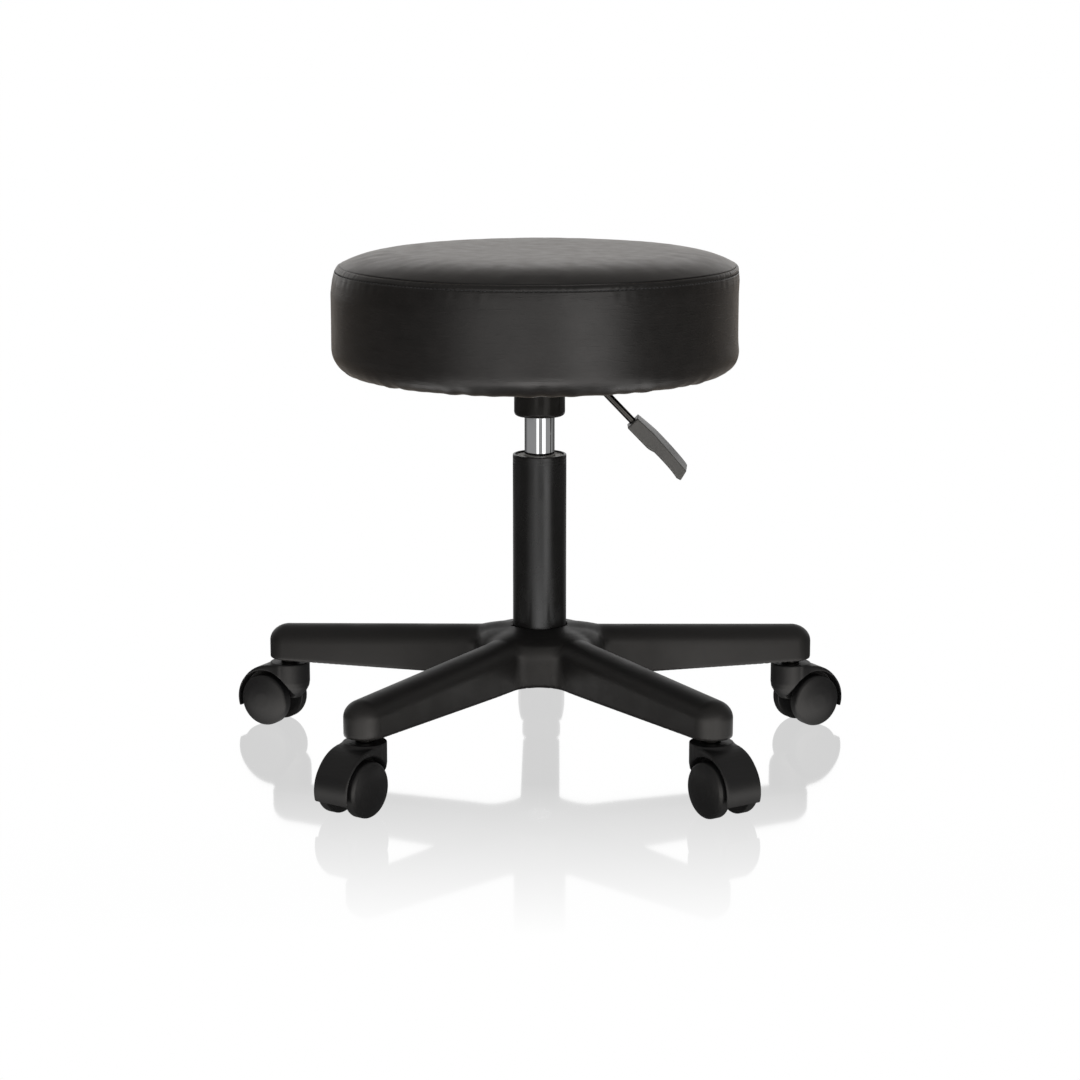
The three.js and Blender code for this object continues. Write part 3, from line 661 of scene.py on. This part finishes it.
def stems():
    """The casters' stems: a pin in the caster, a collar in the gap, and a pin in the arm."""
    bottom, top = low("caster_stem_1").z, high("caster_stem_1").z
    collar, shoulder = 62.3 * MM, low("star_base").z - 0.3 * MM
    corners = [
        (0, bottom, 0),
        (5 * MM, bottom, 0.4 * MM),
        (5 * MM, collar, 0.4 * MM),
        (9 * MM, collar, 0.5 * MM),
        (9 * MM, shoulder, 0.5 * MM),
        (5.5 * MM, shoulder, 0.4 * MM),
        (5.5 * MM, top - 2 * MM, 0.6 * MM),
        (4 * MM, top, 0.6 * MM),
        (0, top, 0),
    ]
    for number, pivot in zip(CASTERS, PIVOTS):
        # The stems are drawn in the dark black_steel look, not in the zinc of their record, which keeps the gap
        # between arm and caster nearly black.
        piece = turned(f"stem_pin_{number}", rounded(corners), SLOTS["black_steel"], 40)
        piece.location = pivot
        stands_for(piece, f"caster_{number}", f"caster_stem_{number}", slot="black_steel")


# ---- seat socket and lever
def socket_cup():
    outer, bottom, top = extent("socket_cover")
    wall, corner = 2 * MM, 7.5 * MM
    hole = half_width("pressure_tube") + 0.6 * MM
    corners = [
        (hole, bottom, 0),
        (outer, bottom, corner),
        (outer, top, 0.6 * MM),
        (outer - wall, top, 0.4 * MM),
        (outer - wall, bottom + wall, corner - wall),
        (hole, bottom + wall, 0.4 * MM),
    ]
    cut_lever_slot(upright("socket_cup", "seat", "socket_cover", corners))


LEVER = Vector(JOINTS["lever_pull"]["pos_m"])
LEVER_DROP = math.radians(46.3)
LEVER_BEND = AXIS + Vector((48.8 * MM, 0, LEVER.z))
LEVER_RADIUS = 3.3 * MM
GRIP_START, GRIP_LENGTH = 54.5 * MM, 70 * MM


def cut_lever_slot(piece):
    """The notch that the lever passes through, as a boolean on the cup."""
    reach = 30 * MM
    half, bottom = 5 * MM, LEVER.z - LEVER_RADIUS - 6.5 * MM
    bpy.ops.mesh.primitive_cube_add(size=1, location=(AXIS.x + reach / 2, AXIS.y, bottom + reach / 2))
    tool = bpy.context.object
    tool.scale = (reach, 2 * half, reach)
    bpy.context.view_layer.update()
    notch = piece.modifiers.new("notch", "BOOLEAN")
    notch.object = tool
    notch.solver = "EXACT"
    apply_modifiers(piece)
    bpy.data.objects.remove(tool)


def apply_modifiers(piece):
    """Makes a piece's modifiers part of its mesh."""
    graph = bpy.context.evaluated_depsgraph_get()
    mesh = bpy.data.meshes.new_from_object(piece.evaluated_get(graph), depsgraph=graph)
    piece.modifiers.clear()
    piece.data = mesh


def along_lever(distance):
    """The point of the lever's lower part at a distance from its bend."""
    return LEVER_BEND + distance * Vector((math.cos(LEVER_DROP), 0, -math.sin(LEVER_DROP)))


def lever_rod():
    """The round rod: level over the release pin, bent, then down into the grip."""
    bend = 7 * MM
    start = AXIS + Vector((-2.2 * MM, 0, LEVER.z))
    turn_in, turn_out = LEVER_BEND - Vector((bend, 0, 0)), along_lever(bend)
    middle = [Vector(p) for p in curve_points(turn_in, LEVER_BEND, turn_out, 10)]
    path = [start, turn_in, *middle, along_lever(GRIP_START + 20 * MM)]
    sides = 24
    points, faces = [], []
    for k, p in enumerate(path):
        ahead = path[min(k + 1, len(path) - 1)] - path[max(k - 1, 0)]
        side = Vector((0, 1, 0))
        up = ahead.normalized().cross(side)
        for j in range(sides):
            angle = 2 * math.pi * j / sides
            points.append(p + LEVER_RADIUS * (math.cos(angle) * side + math.sin(angle) * up))
    for k in range(len(path) - 1):
        for j in range(sides):
            a, b = k * sides + j, k * sides + (j + 1) % sides
            faces.append([a, b, b + sides, a + sides])
    faces.append(list(range(sides)))
    faces.append(list(range((len(path) - 1) * sides, len(path) * sides))[::-1])
    rod = add_mesh("lever_bar", points, faces, SLOTS["black_steel"])
    lever_eye()
    stands_for(rod, "lever", "lever_rod")


def lever_eye():
    """The ring that the lever turns in, round its pivot pin."""
    inner, outer, half = 2.5 * MM, 5.2 * MM, 4.8 * MM
    corners = [(inner, -half, 0), (outer, -half, 0.5 * MM), (outer, half, 0.5 * MM), (inner, half, 0.3 * MM)]
    eye = turned("lever_eye", rounded([*corners, corners[0]]), SLOTS["black_steel"], 32)
    eye.rotation_euler.x = math.pi / 2
    eye.location = LEVER
    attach(eye, "lever")


def grip_outline():
    """Side view of the grip, along the lever from its root and across it."""
    length = GRIP_LENGTH / MM
    points = [[0, -7.2], [length * 0.37, -7]]
    points += curve_points([length * 0.37, -7], [length * 0.43, -6.6], [length * 0.48, -5])
    points += curve_points([length * 0.48, -5], [length * 0.78, -4.4], [length * 0.94, -6.6])
    points += [[length, -5.2], [length * 0.95, 7.6]]
    points += curve_points([length * 0.95, 7.6], [length * 0.8, 10], [length * 0.62, 10.6])
    points += curve_points([length * 0.62, 10.6], [length * 0.32, 10.4], [0, 7.3])
    return np.array(points) * MM


def lever_grip():
    """The paddle: flat sides, a top that twists to the front towards its end, and a socket for the rod."""
    outline = grip_outline()
    half = half_width("lever_grip")

    def field(x, y, z):
        side_view = outline_distance(outline, x, z)
        body = soft_max(side_view, np.abs(y) - half, 1.5 * MM)
        share = x / GRIP_LENGTH
        front_edge = np.interp(share, [0, 0.3, 1], [5.6, 6.8, 4.4]) * MM
        twist = np.interp(share, [0, 0.3, 0.62, 1], [2, 3, 3.8, 4]) * MM
        top = z - front_edge - twist * (y + half) / (2 * half)
        body = soft_max(body, 0.96 * top, 0.8 * MM)
        socket = np.maximum(np.hypot(y, z) - LEVER_RADIUS - 0.3 * MM, x - 21 * MM)
        return np.maximum(body, -socket)

    lowest, highest = (-1 * MM, -half, -8 * MM), (GRIP_LENGTH, half, 12 * MM)
    piece = surface("grip_paddle", field, lowest, highest, 0.8 * MM, SLOTS["grip_plastic"])
    piece.rotation_euler.y = LEVER_DROP
    piece.location = along_lever(GRIP_START)
    stands_for(piece, "lever", "lever_grip")


# ---- casters
TRAIL = 18.5 * MM  # from a caster's pivot to its axle
WHEEL = high("wheel_left_2").z / 2
HOOD, HOOD_INNER, HOOD_HALF = 31 * MM, 29.2 * MM, 18.6 * MM
NECK, NECK_TOP = 19 * MM, high("caster_body_1").z
WEB_HALF = 7 * MM
AXLE = 3 * MM


def hood_outline():
    """Side view of the hood and its shoulder, up to the neck."""
    lip = math.asin(-9 * MM / HOOD)
    angles = np.linspace(lip, math.radians(35), 14)
    arc = [[TRAIL + HOOD * math.cos(a), WHEEL + HOOD * math.sin(a)] for a in angles]
    points = [[2 * MM, 30 * MM], [TRAIL - 6 * MM, 18.5 * MM], [TRAIL + 6 * MM, 18.5 * MM], *arc]
    points += curve_points(arc[-1], [32.5 * MM, 59.5 * MM], [12 * MM, 60 * MM])
    points.append([2 * MM, 60 * MM])
    return np.array(points)


def caster_field():
    """The caster's body: hood, web and neck, with a pocket for each wheel."""
    outline = hood_outline()

    taper_heights = np.array([27, 33, 38, 43]) * MM
    taper_radii = np.array([10, 15.5, 18.2, 19]) * MM

    def field(x, y, z):
        r = np.hypot(x, y)
        taper = np.interp(z, taper_heights, taper_radii)
        neck = soft_max(soft_max(r - taper, taper_heights[0] - z, 1 * MM), z - NECK_TOP, 1.2 * MM)
        hood = soft_max(outline_distance(outline, x, z), np.abs(y) - HOOD_HALF, 2.2 * MM)
        body = soft_min(neck, hood, 4 * MM)
        body = np.maximum(body, z - NECK_TOP)
        from_axle = np.hypot(x - TRAIL, z - WHEEL)
        pocket = np.maximum(from_axle - HOOD_INNER, WEB_HALF - np.abs(y))
        body = soft_max(body, -pocket, 0.8 * MM)
        axle_bore = from_axle - AXLE - 0.3 * MM
        stem_bore = np.maximum(r - 5.4 * MM, 43.5 * MM - z)
        return np.maximum(np.maximum(body, -axle_bore), -stem_bore)

    return field


def wheel_profile():
    """A domed wheel with its axis on Z and its dome up."""
    inner, outer, dome = 10.5 * MM, 19.2 * MM, 24.2 * MM
    hub_face, bore = WEB_HALF + 0.3 * MM, AXLE + 0.5 * MM
    corners = [
        (0, dome, 0),
        (WHEEL * 0.3, dome - 0.1 * MM, 1.5 * MM),
        (WHEEL * 0.66, dome - 1.1 * MM, 3 * MM),
        (WHEEL * 0.93, outer + 2 * MM, 2.2 * MM),
        (WHEEL, outer, 1.6 * MM),
        (WHEEL, inner, 1 * MM),
        (WHEEL - 5 * MM, inner, 1 * MM),
        (8 * MM, inner + 3 * MM, 1 * MM),
        (8 * MM, hub_face, 0.4 * MM),
        (bore, hub_face, 0.3 * MM),
        (bore, outer + 1 * MM, 0.3 * MM),
        (0, outer + 1 * MM, 0),
    ]
    return rounded(corners, 5)


def casters():
    """One body and one wheel, made once and placed for all five casters."""
    material = SLOTS["caster_nylon"]
    lowest, highest = (-NECK, -NECK, 17 * MM), (TRAIL + HOOD, NECK, NECK_TOP)
    body = surface("caster_hood_1", caster_field(), lowest, highest, 0.85 * MM, material)
    wheel = turned("wheel_disc_left_1", wheel_profile(), material, 72)
    for number, pivot in zip(CASTERS, PIVOTS):
        axle = Vector(JOINTS[f"wheel_roll_left_{number}"]["pos_m"])
        turn = math.atan2(axle.y - pivot.y, axle.x - pivot.x)
        shell = body if number == 1 else copy_of(body, f"caster_hood_{number}")
        shell.location, shell.rotation_euler.z = pivot, turn
        stands_for(shell, f"caster_{number}", f"caster_body_{number}")
        for side, flip in (("left", -90), ("right", 90)):
            first = number == 1 and side == "left"
            disc = wheel if first else copy_of(wheel, f"wheel_disc_{side}_{number}")
            upend = Matrix.Rotation(math.radians(flip), 4, "X")
            disc.matrix_world = Matrix.Translation(axle) @ Matrix.Rotation(turn, 4, "Z") @ upend
            stands_for(disc, f"roller_{side}_{number}", f"wheel_{side}_{number}")


def copy_of(piece, name):
    twin = bpy.data.objects.new(name, piece.data)
    bpy.context.scene.collection.objects.link(twin)
    return twin


# ---- seat cushion
SEAT_CENTRE = Vector(((low("seat_cover").x + high("seat_cover").x) / 2, AXIS.y, 0))
SEAT_BOTTOM, SEAT_TOP = low("seat_cover").z, high("seat_cover").z
SEAM_RADIUS = 182.1 * MM
STITCH_RADIUS, STITCH_Z = 185.5 * MM, SEAM_Z - 5.1 * MM
STRIP = math.hypot(STITCH_RADIUS - SEAM_RADIUS, SEAM_Z - STITCH_Z)  # from the seam down to the stitches
TOP_SHIFT = 3.1 * MM  # the top panel is sewn on a little to the right
CORNER = 23.5 * MM
OPENING = 140 * MM  # the cover's edge under the board
POCKET = 159 * MM  # the board sits in a pocket of the cushion's underside
STITCH_PITCH = 4.2 * MM
STAPLES = 30  # tucks where the cover is stapled up under the board


def crown_height(share):
    """The height of the top at a share of the way out to the seam: nearly flat, then falling fast."""
    return SEAM_Z + (SEAT_TOP - SEAM_Z) * (1 - share**7.4)


def band_radius(z):
    """The strip slopes out from the seam to the topstitching, and the band bulges below it."""
    heights = np.array([STITCH_Z - 20 * MM, STITCH_Z - 8 * MM, STITCH_Z, SEAM_Z])
    return float(np.interp(z, heights, [SEAT_RADIUS, SEAT_RADIUS - 0.6 * MM, STITCH_RADIUS, SEAM_RADIUS]))


def cushion_profile():
    """The cushion's outside from its top centre to the edge of its underside opening."""
    shares = [*np.linspace(0, 0.9, 26), *np.linspace(0.915, 0.98, 9), *np.linspace(0.9825, 1, 8)]
    points = [(share * SEAM_RADIUS, crown_height(share)) for share in shares]
    band_end = SEAT_BOTTOM + CORNER
    fine = np.arange(SEAM_Z - 0.35 * MM, STITCH_Z - 3 * MM, -0.4 * MM)
    for z in [*fine, *np.linspace(STITCH_Z - 4 * MM, band_end, 32)[:-1]]:
        points.append((band_radius(z), z))
    for angle in np.linspace(0, -math.pi / 2, 18):
        across, up = CORNER * math.cos(angle), CORNER * math.sin(angle)
        points.append((SEAT_RADIUS - CORNER + across, SEAT_BOTTOM + CORNER + up))
    points += [(r, SEAT_BOTTOM) for r in np.linspace(SEAT_RADIUS - CORNER - 4 * MM, OPENING, 6)]
    return np.array(points)


def normals_of(profile):
    """Unit normals of a profile, facing out of the cushion."""
    tangent = np.gradient(profile, axis=0)
    normal = np.stack([-tangent[:, 1], tangent[:, 0]], axis=1)
    return normal / np.linalg.norm(normal, axis=1, keepdims=True)


def slack_core(profile, inset):
    """The cushion a little too small, as an even mesh for the simulation to fill."""
    inner = profile + normals_of(profile) * -inset
    inner[0, 0] = 0
    outline = np.array([*inner[::2], (0, SEAT_BOTTOM + inset)])
    piece = turned("cushion_core", outline, SLOTS["leatherette"], 160)
    remesh = piece.modifiers.new("remesh", "REMESH")
    remesh.mode = "VOXEL"
    remesh.voxel_size = 5 * MM
    apply_modifiers(piece)
    return piece


def held_firmly(co):
    """How firmly each point is held: the underside, the staples around it, and the sewn seam."""
    r = np.hypot(co[:, 0], co[:, 1])
    turn = np.arctan2(co[:, 1], co[:, 0])
    under = (co[:, 2] < SEAT_BOTTOM + 5 * MM) & (r < SEAT_RADIUS - CORNER)
    staple = (np.cos(STAPLES * turn) > 0.6) & (co[:, 2] < SEAT_BOTTOM + 10 * MM)
    seam = np.hypot(r - SEAM_RADIUS, co[:, 2] - SEAM_Z) < 7 * MM
    return np.where(under | staple, 1.0, np.where(seam, 0.9, 0.0))


def inflate(piece):
    """Fills the slack core by Cloth pressure, with the movement capped, and keeps the result."""
    rest = coordinates(piece.data)
    group = piece.vertex_groups.new(name="held")
    for index, weight in enumerate(held_firmly(rest)):
        if weight > 0:
            group.add([index], float(weight), "REPLACE")
    cloth = piece.modifiers.new("cloth", "CLOTH")
    settings = cloth.settings
    settings.quality = 5
    settings.mass = 0.35
    settings.tension_stiffness = settings.compression_stiffness = 20
    settings.shear_stiffness = 12
    settings.bending_stiffness = 1
    settings.use_pressure = True
    settings.uniform_pressure_force = 4
    settings.effector_weights.gravity = 0
    settings.vertex_group_mass = "held"
    cloth.collision_settings.use_collision = False
    for step in range(1, 21):
        bpy.context.scene.frame_set(step)
    filled = piece.evaluated_get(bpy.context.evaluated_depsgraph_get())
    moved = coordinates(filled.data) - rest
    length = np.linalg.norm(moved, axis=1, keepdims=True)
    moved *= np.minimum(1, 6 * MM / np.maximum(length, 1e-9))
    piece.modifiers.clear()
    bpy.context.scene.frame_set(1)
    piece.data.vertices.foreach_set("co", (rest + moved).astype(np.float32).ravel())
    piece.data.update()


def swell(core, profile, normal, turns, inset):
    """How far the filled core stands out from its slack shape, along each ring of the profile."""
    tree = BVHTree.FromObject(core, bpy.context.evaluated_depsgraph_get())
    out = np.zeros((len(profile), len(turns)))
    reach = 12 * MM
    for ring, ((r, z), (nr, nz)) in enumerate(zip(profile, normal)):
        for k, turn in enumerate(turns):
            aim = Vector((nr * math.cos(turn), nr * math.sin(turn), nz))
            start = Vector((r * math.cos(turn), r * math.sin(turn), z)) + aim * reach
            distance = tree.ray_cast(start, -aim, 2 * reach)[3]
            out[ring, k] = inset if distance is None else reach - distance + inset
    return out


def smoothed(grid, reach):
    """Averages a grid of rings by turns over its neighbours, wrapping round each ring."""
    for shift in range(1, reach + 1):
        grid = (grid + np.roll(grid, shift, 1) + np.roll(grid, -shift, 1)) / 3
        padded = np.pad(grid, ((shift, shift), (0, 0)), mode="edge")
        grid = (grid + padded[2 * shift :] + padded[: -2 * shift]) / 3
    return grid


def waves(turns, cycles, seed):
    """A seeded sum of waves round the cushion, from about -1 to 1."""
    phases = np.random.default_rng(seed).uniform(0, 2 * math.pi, len(cycles))
    return sum(np.sin(c * turns + p) for c, p in zip(cycles, phases)) / math.sqrt(len(cycles))


def sewing_relief(down, turns):
    """Relief of the seam, the puckered strip, the topstitching, and the wrinkles of the band."""
    seam = -1.1 * MM * bell(down, 0, 0.6 * MM)
    strip = 0.55 * MM * bell(down, 2.8 * MM, 1.9 * MM)
    stitched = -0.75 * MM * bell(down, STRIP, 0.7 * MM)
    uneven = 0.55 + 0.45 * waves(turns, (3, 7, 11), 4)
    pucker = waves(turns, (141, 163, 188, 97), 5) * np.clip(uneven, 0.1, 1.4)
    pulled = 0.24 * MM * pucker * bell(down, 3 * MM, 2.4 * MM)
    pulled = pulled + 0.09 * MM * waves(turns, (70, 83, 111), 6) * bell(down, 11 * MM, 5 * MM)
    return seam + strip + stitched + pulled


def hand_made(profile, turns):
    """Slow differences from a true turned shape: the crown, the lower edge and the band."""
    r, z = profile[:, :1], profile[:, 1:]
    east = np.cos(turns)
    on_top = np.where(z > SEAM_Z, (r / SEAM_RADIUS) ** 2 * (1 - (r / SEAM_RADIUS) ** 8), 0)
    crown = MM * on_top * (0.6 * east + 0.12 * waves(turns, (2, 5, 9), 8))
    from_east = np.minimum(turns, 2 * math.pi - turns)
    elbow = 1.9 * MM * bell(z, SEAT_BOTTOM + 12 * MM, 11 * MM) * bell(from_east, 0, 0.5)
    hem = 0.4 * MM * waves(turns, (STAPLES, 47, 61), 9) * bell(z, SEAT_BOTTOM, 9 * MM)
    band = 0.35 * MM * waves(turns, (4, 9, 15), 10) * bell(z, 410 * MM, 30 * MM)
    return crown + elbow + hem + band


def cushion():
    profile = cushion_profile()
    normal = normals_of(profile)
    segments = 720
    turns = np.arange(segments) * 2 * math.pi / segments
    seam = np.argmin(np.hypot(profile[:, 0] - SEAM_RADIUS, profile[:, 1] - SEAM_Z))
    lengths = np.linalg.norm(np.diff(profile, axis=0), axis=1)
    along = np.concatenate([[0], np.cumsum(lengths)])
    down = (along - along[seam])[:, None]
    out = hand_made(profile, turns)
    inset = 2.5 * MM
    core = slack_core(profile, inset)
    inflate(core)
    filled = smoothed(swell(core, profile, normal, turns, inset), 3)
    bpy.data.objects.remove(core)
    out = out + np.clip(filled - filled.mean(axis=1, keepdims=True), -3 * MM, 3 * MM)
    out = smoothed(out, 1) + sewing_relief(down, turns)
    out[0] = out[0].mean()
    r = profile[:, :1] + normal[:, :1] * out
    z = profile[:, 1:] + normal[:, 1:] * out
    z = np.clip(z, SEAT_BOTTOM, SEAT_TOP)
    lean = TOP_SHIFT * np.interp(z, [STITCH_Z - 20 * MM, STITCH_Z, SEAM_Z], [0, 0.58, 1])
    x, y = r * np.cos(turns) + lean, r * np.sin(turns)
    build_cushion(np.stack([x, y, z], axis=2))
    ring = np.argmin(np.abs(down[:, 0] - STRIP))
    topstitching(np.stack([x[ring], y[ring], z[ring]], axis=1))


def build_cushion(rings):
    """The closed cushion: the outside rings, then the pocket that the seat board fills."""
    board_top = high("seat_board").z + 0.3 * MM
    under = SEAT_BOTTOM + 1.5 * MM
    segments = rings.shape[1]
    turns = np.arange(segments) * 2 * math.pi / segments
    inside = [(OPENING, under), (POCKET, under), (POCKET, board_top), (80 * MM, board_top)]
    pocket = [np.stack([r * np.cos(turns), r * np.sin(turns), z + 0 * turns], axis=1) for r, z in inside]
    rings = np.array([*rings, *pocket])
    top_centre = rings[0].mean(axis=0)
    rings = rings[1:]
    points = [*rings.reshape(-1, 3), top_centre, (0, 0, board_top)]
    here = np.arange(segments)
    after = (here + 1) % segments
    faces = []
    for start in range(0, (len(rings) - 1) * segments, segments):
        below = start + segments
        faces += np.stack([start + here, below + here, below + after, start + after], axis=1).tolist()
    middle, last = len(rings) * segments, (len(rings) - 1) * segments
    faces += [[middle, k, n] for k, n in zip(here, after)]
    faces += [[last + k, middle + 1, last + n] for k, n in zip(here, after)]
    piece = add_mesh("cushion", points, faces, SLOTS["leatherette"], 55)
    piece.location = SEAT_CENTRE
    stands_for(piece, "seat", "seat_cover", "seat_foam")


def topstitching(ring):
    """One row of stitches round the cushion, each a small rounded bead lying in the groove."""
    closed = np.vstack([ring, ring[:1]])
    lengths = np.concatenate([[0], np.cumsum(np.linalg.norm(np.diff(closed, axis=0), axis=1))])
    count = round(lengths[-1] / STITCH_PITCH)
    radius, half, sides = 0.5 * MM, 1.5 * MM, 8
    stations = [(-1, 0), (-0.8, 0.75), (-0.4, 1), (0.4, 1), (0.8, 0.75), (1, 0)]
    points, faces = [], []
    for k in range(count):
        reach = (k + np.array([0.4, 0.5, 0.6])) / count * lengths[-1]
        places = [np.array([np.interp(d, lengths, closed[:, a]) for a in range(3)]) for d in reach]
        before, centre, beyond = places
        out = np.array([centre[0], centre[1], 0]) / math.hypot(centre[0], centre[1])
        along = (beyond - before) / np.linalg.norm(beyond - before)
        along = along + np.array([0, 0, rng.uniform(-0.1, 0.1)])
        centre = centre + 0.15 * MM * out
        first = len(points)
        points.append(centre - half * along)
        for offset, share in stations[1:-1]:
            for angle in np.arange(sides) * 2 * math.pi / sides:
                lift = math.cos(angle) * out + np.array([0, 0, math.sin(angle)])
                points.append(centre + half * offset * along + radius * share * lift)
        points.append(centre + half * along)
        last = len(points) - 1
        for side in range(sides):
            n = (side + 1) % sides
            faces.append([first, first + 1 + n, first + 1 + side])
            for row in range(first + 1, last - sides, sides):
                faces.append([row + side, row + n, row + sides + n, row + sides + side])
            faces.append([last - sides + side, last - sides + n, last])
    piece = add_mesh("topstitch", points, faces, THREAD, 60)
    piece.location = SEAT_CENTRE
    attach(piece, "seat")


# ---- surroundings
def stage_plane(name, z, material):
    """A wide plane of scenery, centred under the stool."""
    bpy.ops.mesh.primitive_plane_add(size=40, location=(AXIS.x, AXIS.y, z))
    plane = bpy.context.object
    plane.name = name
    plane.data.materials.append(material)
    return plane


def blank_material(name):
    """A material without nodes, and its node tree."""
    material = bpy.data.materials.new(name)
    material.use_nodes = True
    tree = material.node_tree
    tree.nodes.clear()
    return material, tree


def floor_plane():
    """A white floor for the camera alone, a little glossy, matt towards the front, and clear from below."""
    material, tree = blank_material("floor")
    gloss = ranged(tree, shaded_point(tree)[1], -0.53, -0.13, 0, 0.36)
    glow = tree.nodes.new("ShaderNodeEmission")
    shine = tree.nodes.new("ShaderNodeBsdfGlossy")
    shine.inputs["Color"].default_value = (1, 1, 1, 1)
    shine.inputs["Roughness"].default_value = 0.06
    clear = tree.nodes.new("ShaderNodeBsdfTransparent")
    from_below = tree.nodes.new("ShaderNodeNewGeometry").outputs["Backfacing"]
    above = mixed(tree, gloss, glow.outputs[0], shine.outputs[0])
    finish(tree, "Material", mixed(tree, from_below, above, clear.outputs[0]))
    plane = stage_plane("floor", 0, material)
    plane.visible_glossy = plane.visible_diffuse = plane.visible_shadow = False


def mixed(tree, share, first, second):
    """Two shaders mixed, from the first to the second as a share goes from 0 to 1."""
    node = tree.nodes.new("ShaderNodeMixShader")
    for socket, source in zip(node.inputs, (share, first, second)):
        tree.links.new(source, socket)
    return node.outputs[0]


def finish(tree, kind, shader):
    """Makes a shader the surface of a material or of the world."""
    output = tree.nodes.new(f"ShaderNodeOutput{kind}")
    tree.links.new(shader, output.inputs["Surface"])


def direction(tree, x, y):
    """The direction of x, y in degrees to the right of the camera."""
    return calculated(tree, "DEGREES", calculated(tree, "ARCTAN2", x, calculated(tree, "MULTIPLY", y, -1.0)))


def studio_brightness(tree, degrees):
    """The dim studio's brightness in a direction: a wall behind, a panel in front, a lamp at its right."""
    wall = ramp_between(tree, calculated(tree, "ABSOLUTE", degrees), 112, 158)
    left_edge = ramp_between(tree, degrees, -60, -20)
    right_edge = ramp_between(tree, degrees, 54, 44)
    panel = calculated(tree, "MULTIPLY", left_edge, right_edge)
    lamp = within(tree, degrees, 18, 37, 8)
    brightness = calculated(tree, "MULTIPLY_ADD", calculated(tree, "ADD", wall, panel), 0.92, 0.08)
    return calculated(tree, "ADD", brightness, lamp)


def near_floor(tree, x, y, degrees, distance):
    """The floor round the stool in painted light: a painted shadow beneath it, painted light in front and beside
    it, brightest straight ahead.
    """
    sideways = within(tree, calculated(tree, "ABSOLUTE", x), 0.18, 0.36, 0.06)
    beside = calculated(tree, "MULTIPLY", sideways, within(tree, y, -0.17, 0.06, 0.06))
    in_front = within(tree, degrees, -50, 62, 16)
    in_front = calculated(tree, "MULTIPLY", in_front, ramp_between(tree, distance, 0.28, 0.42))
    ahead = within(tree, degrees, -14, 14, 8)
    ahead = calculated(tree, "MULTIPLY", ahead, within(tree, distance, 0.4, 0.62, 0.08))
    # 0.1 is the painted shadow of the stool on the floor; each patch adds painted light to it.
    level = 0.1
    for patch, strength in ((beside, 1.5), (in_front, 1.7), (ahead, 3)):
        level = calculated(tree, "MULTIPLY_ADD", patch, strength, level)
    return level


def far_floor(tree, y, degrees, distance):
    """The floor further off: as bright as the studio, with two painted lamp reflections in bars on a dimmer strip,
    and shaded behind the stool.
    """
    bars = calculated(tree, "ADD", within(tree, degrees, -22, -6, 8), within(tree, degrees, 22, 46, 8))
    # Between 1.4 and 2.05 m the floor is painted dimmer, 0.3, with two painted lamp reflections as bright bars,
    # which the polished lift tube mirrors.
    painted_reflections = calculated(tree, "MULTIPLY_ADD", bars, 1.7, 0.3)
    reflection_strip = within(tree, distance, 1.4, 2.05, 0.1)
    level = blended(tree, reflection_strip, studio_brightness(tree, degrees), painted_reflections)
    behind = ramp_between(tree, calculated(tree, "DIVIDE", y, distance), 0.2, 0.7)
    return calculated(tree, "MULTIPLY", level, calculated(tree, "MULTIPLY_ADD", behind, -0.7, 1.0))


def bounce_card():
    """What the stool sees of the studio floor, glowing with painted light and shade. The camera doesn't see it."""
    material, tree = blank_material("bounce")
    x, y, _ = shaded_point(tree)
    squares = calculated(tree, "MULTIPLY_ADD", x, x, calculated(tree, "MULTIPLY", y, y))
    distance = calculated(tree, "SQRT", squares)
    degrees = direction(tree, x, y)
    near, far = near_floor(tree, x, y, degrees, distance), far_floor(tree, y, degrees, distance)
    glow = tree.nodes.new("ShaderNodeEmission")
    away = ramp_between(tree, distance, 0.4, 0.7)
    tree.links.new(blended(tree, away, near, far), glow.inputs["Strength"])
    finish(tree, "Material", glow.outputs[0])
    plane = stage_plane("bounce", -1 * MM, material)
    plane.visible_camera = plane.visible_shadow = False


def surrounding_light():
    """White all round to the camera. The stool sees the lit studio up to 17 degrees, and dusk above."""
    world = bpy.data.worlds.new("studio")
    bpy.context.scene.world = world
    world.use_nodes = True
    tree = world.node_tree
    tree.nodes.clear()
    x, y, z = shaded_point(tree, "Generated")
    walls = studio_brightness(tree, direction(tree, x, y))
    above = ramp_between(tree, calculated(tree, "ARCSINE", z), math.radians(17), math.radians(27))
    to_camera = tree.nodes.new("ShaderNodeLightPath").outputs["Is Camera Ray"]
    glow = tree.nodes.new("ShaderNodeBackground")
    glow.inputs["Color"].default_value = (1, 1, 1, 1)
    strength = blended(tree, to_camera, blended(tree, above, walls, 0.25), 1.0)
    tree.links.new(strength, glow.inputs["Strength"])
    finish(tree, "World", glow.outputs[0])


def camera():
    """In front of the stool, looking down on it a little."""
    data = bpy.data.cameras.new("camera")
    data.lens = 90.63
    data.clip_start, data.clip_end = 0.05, 100
    eye = bpy.data.objects.new("camera", data)
    bpy.context.scene.collection.objects.link(eye)
    eye.location = AXIS + Vector((0.0165, -2.4959, 0.7048))
    eye.rotation_euler = (math.radians(90 - 11.46), 0, math.radians(0.37))
    bpy.context.scene.camera = eye


# ---- the stool
finish_cad_nodes()
star_base()
column()
bush()
lift_tube()
stems()
socket_cup()
lever_rod()
lever_grip()
casters()
cushion()

floor_plane()
bounce_card()
surrounding_light()
camera()
bpy.context.scene.view_settings.view_transform = "Standard"
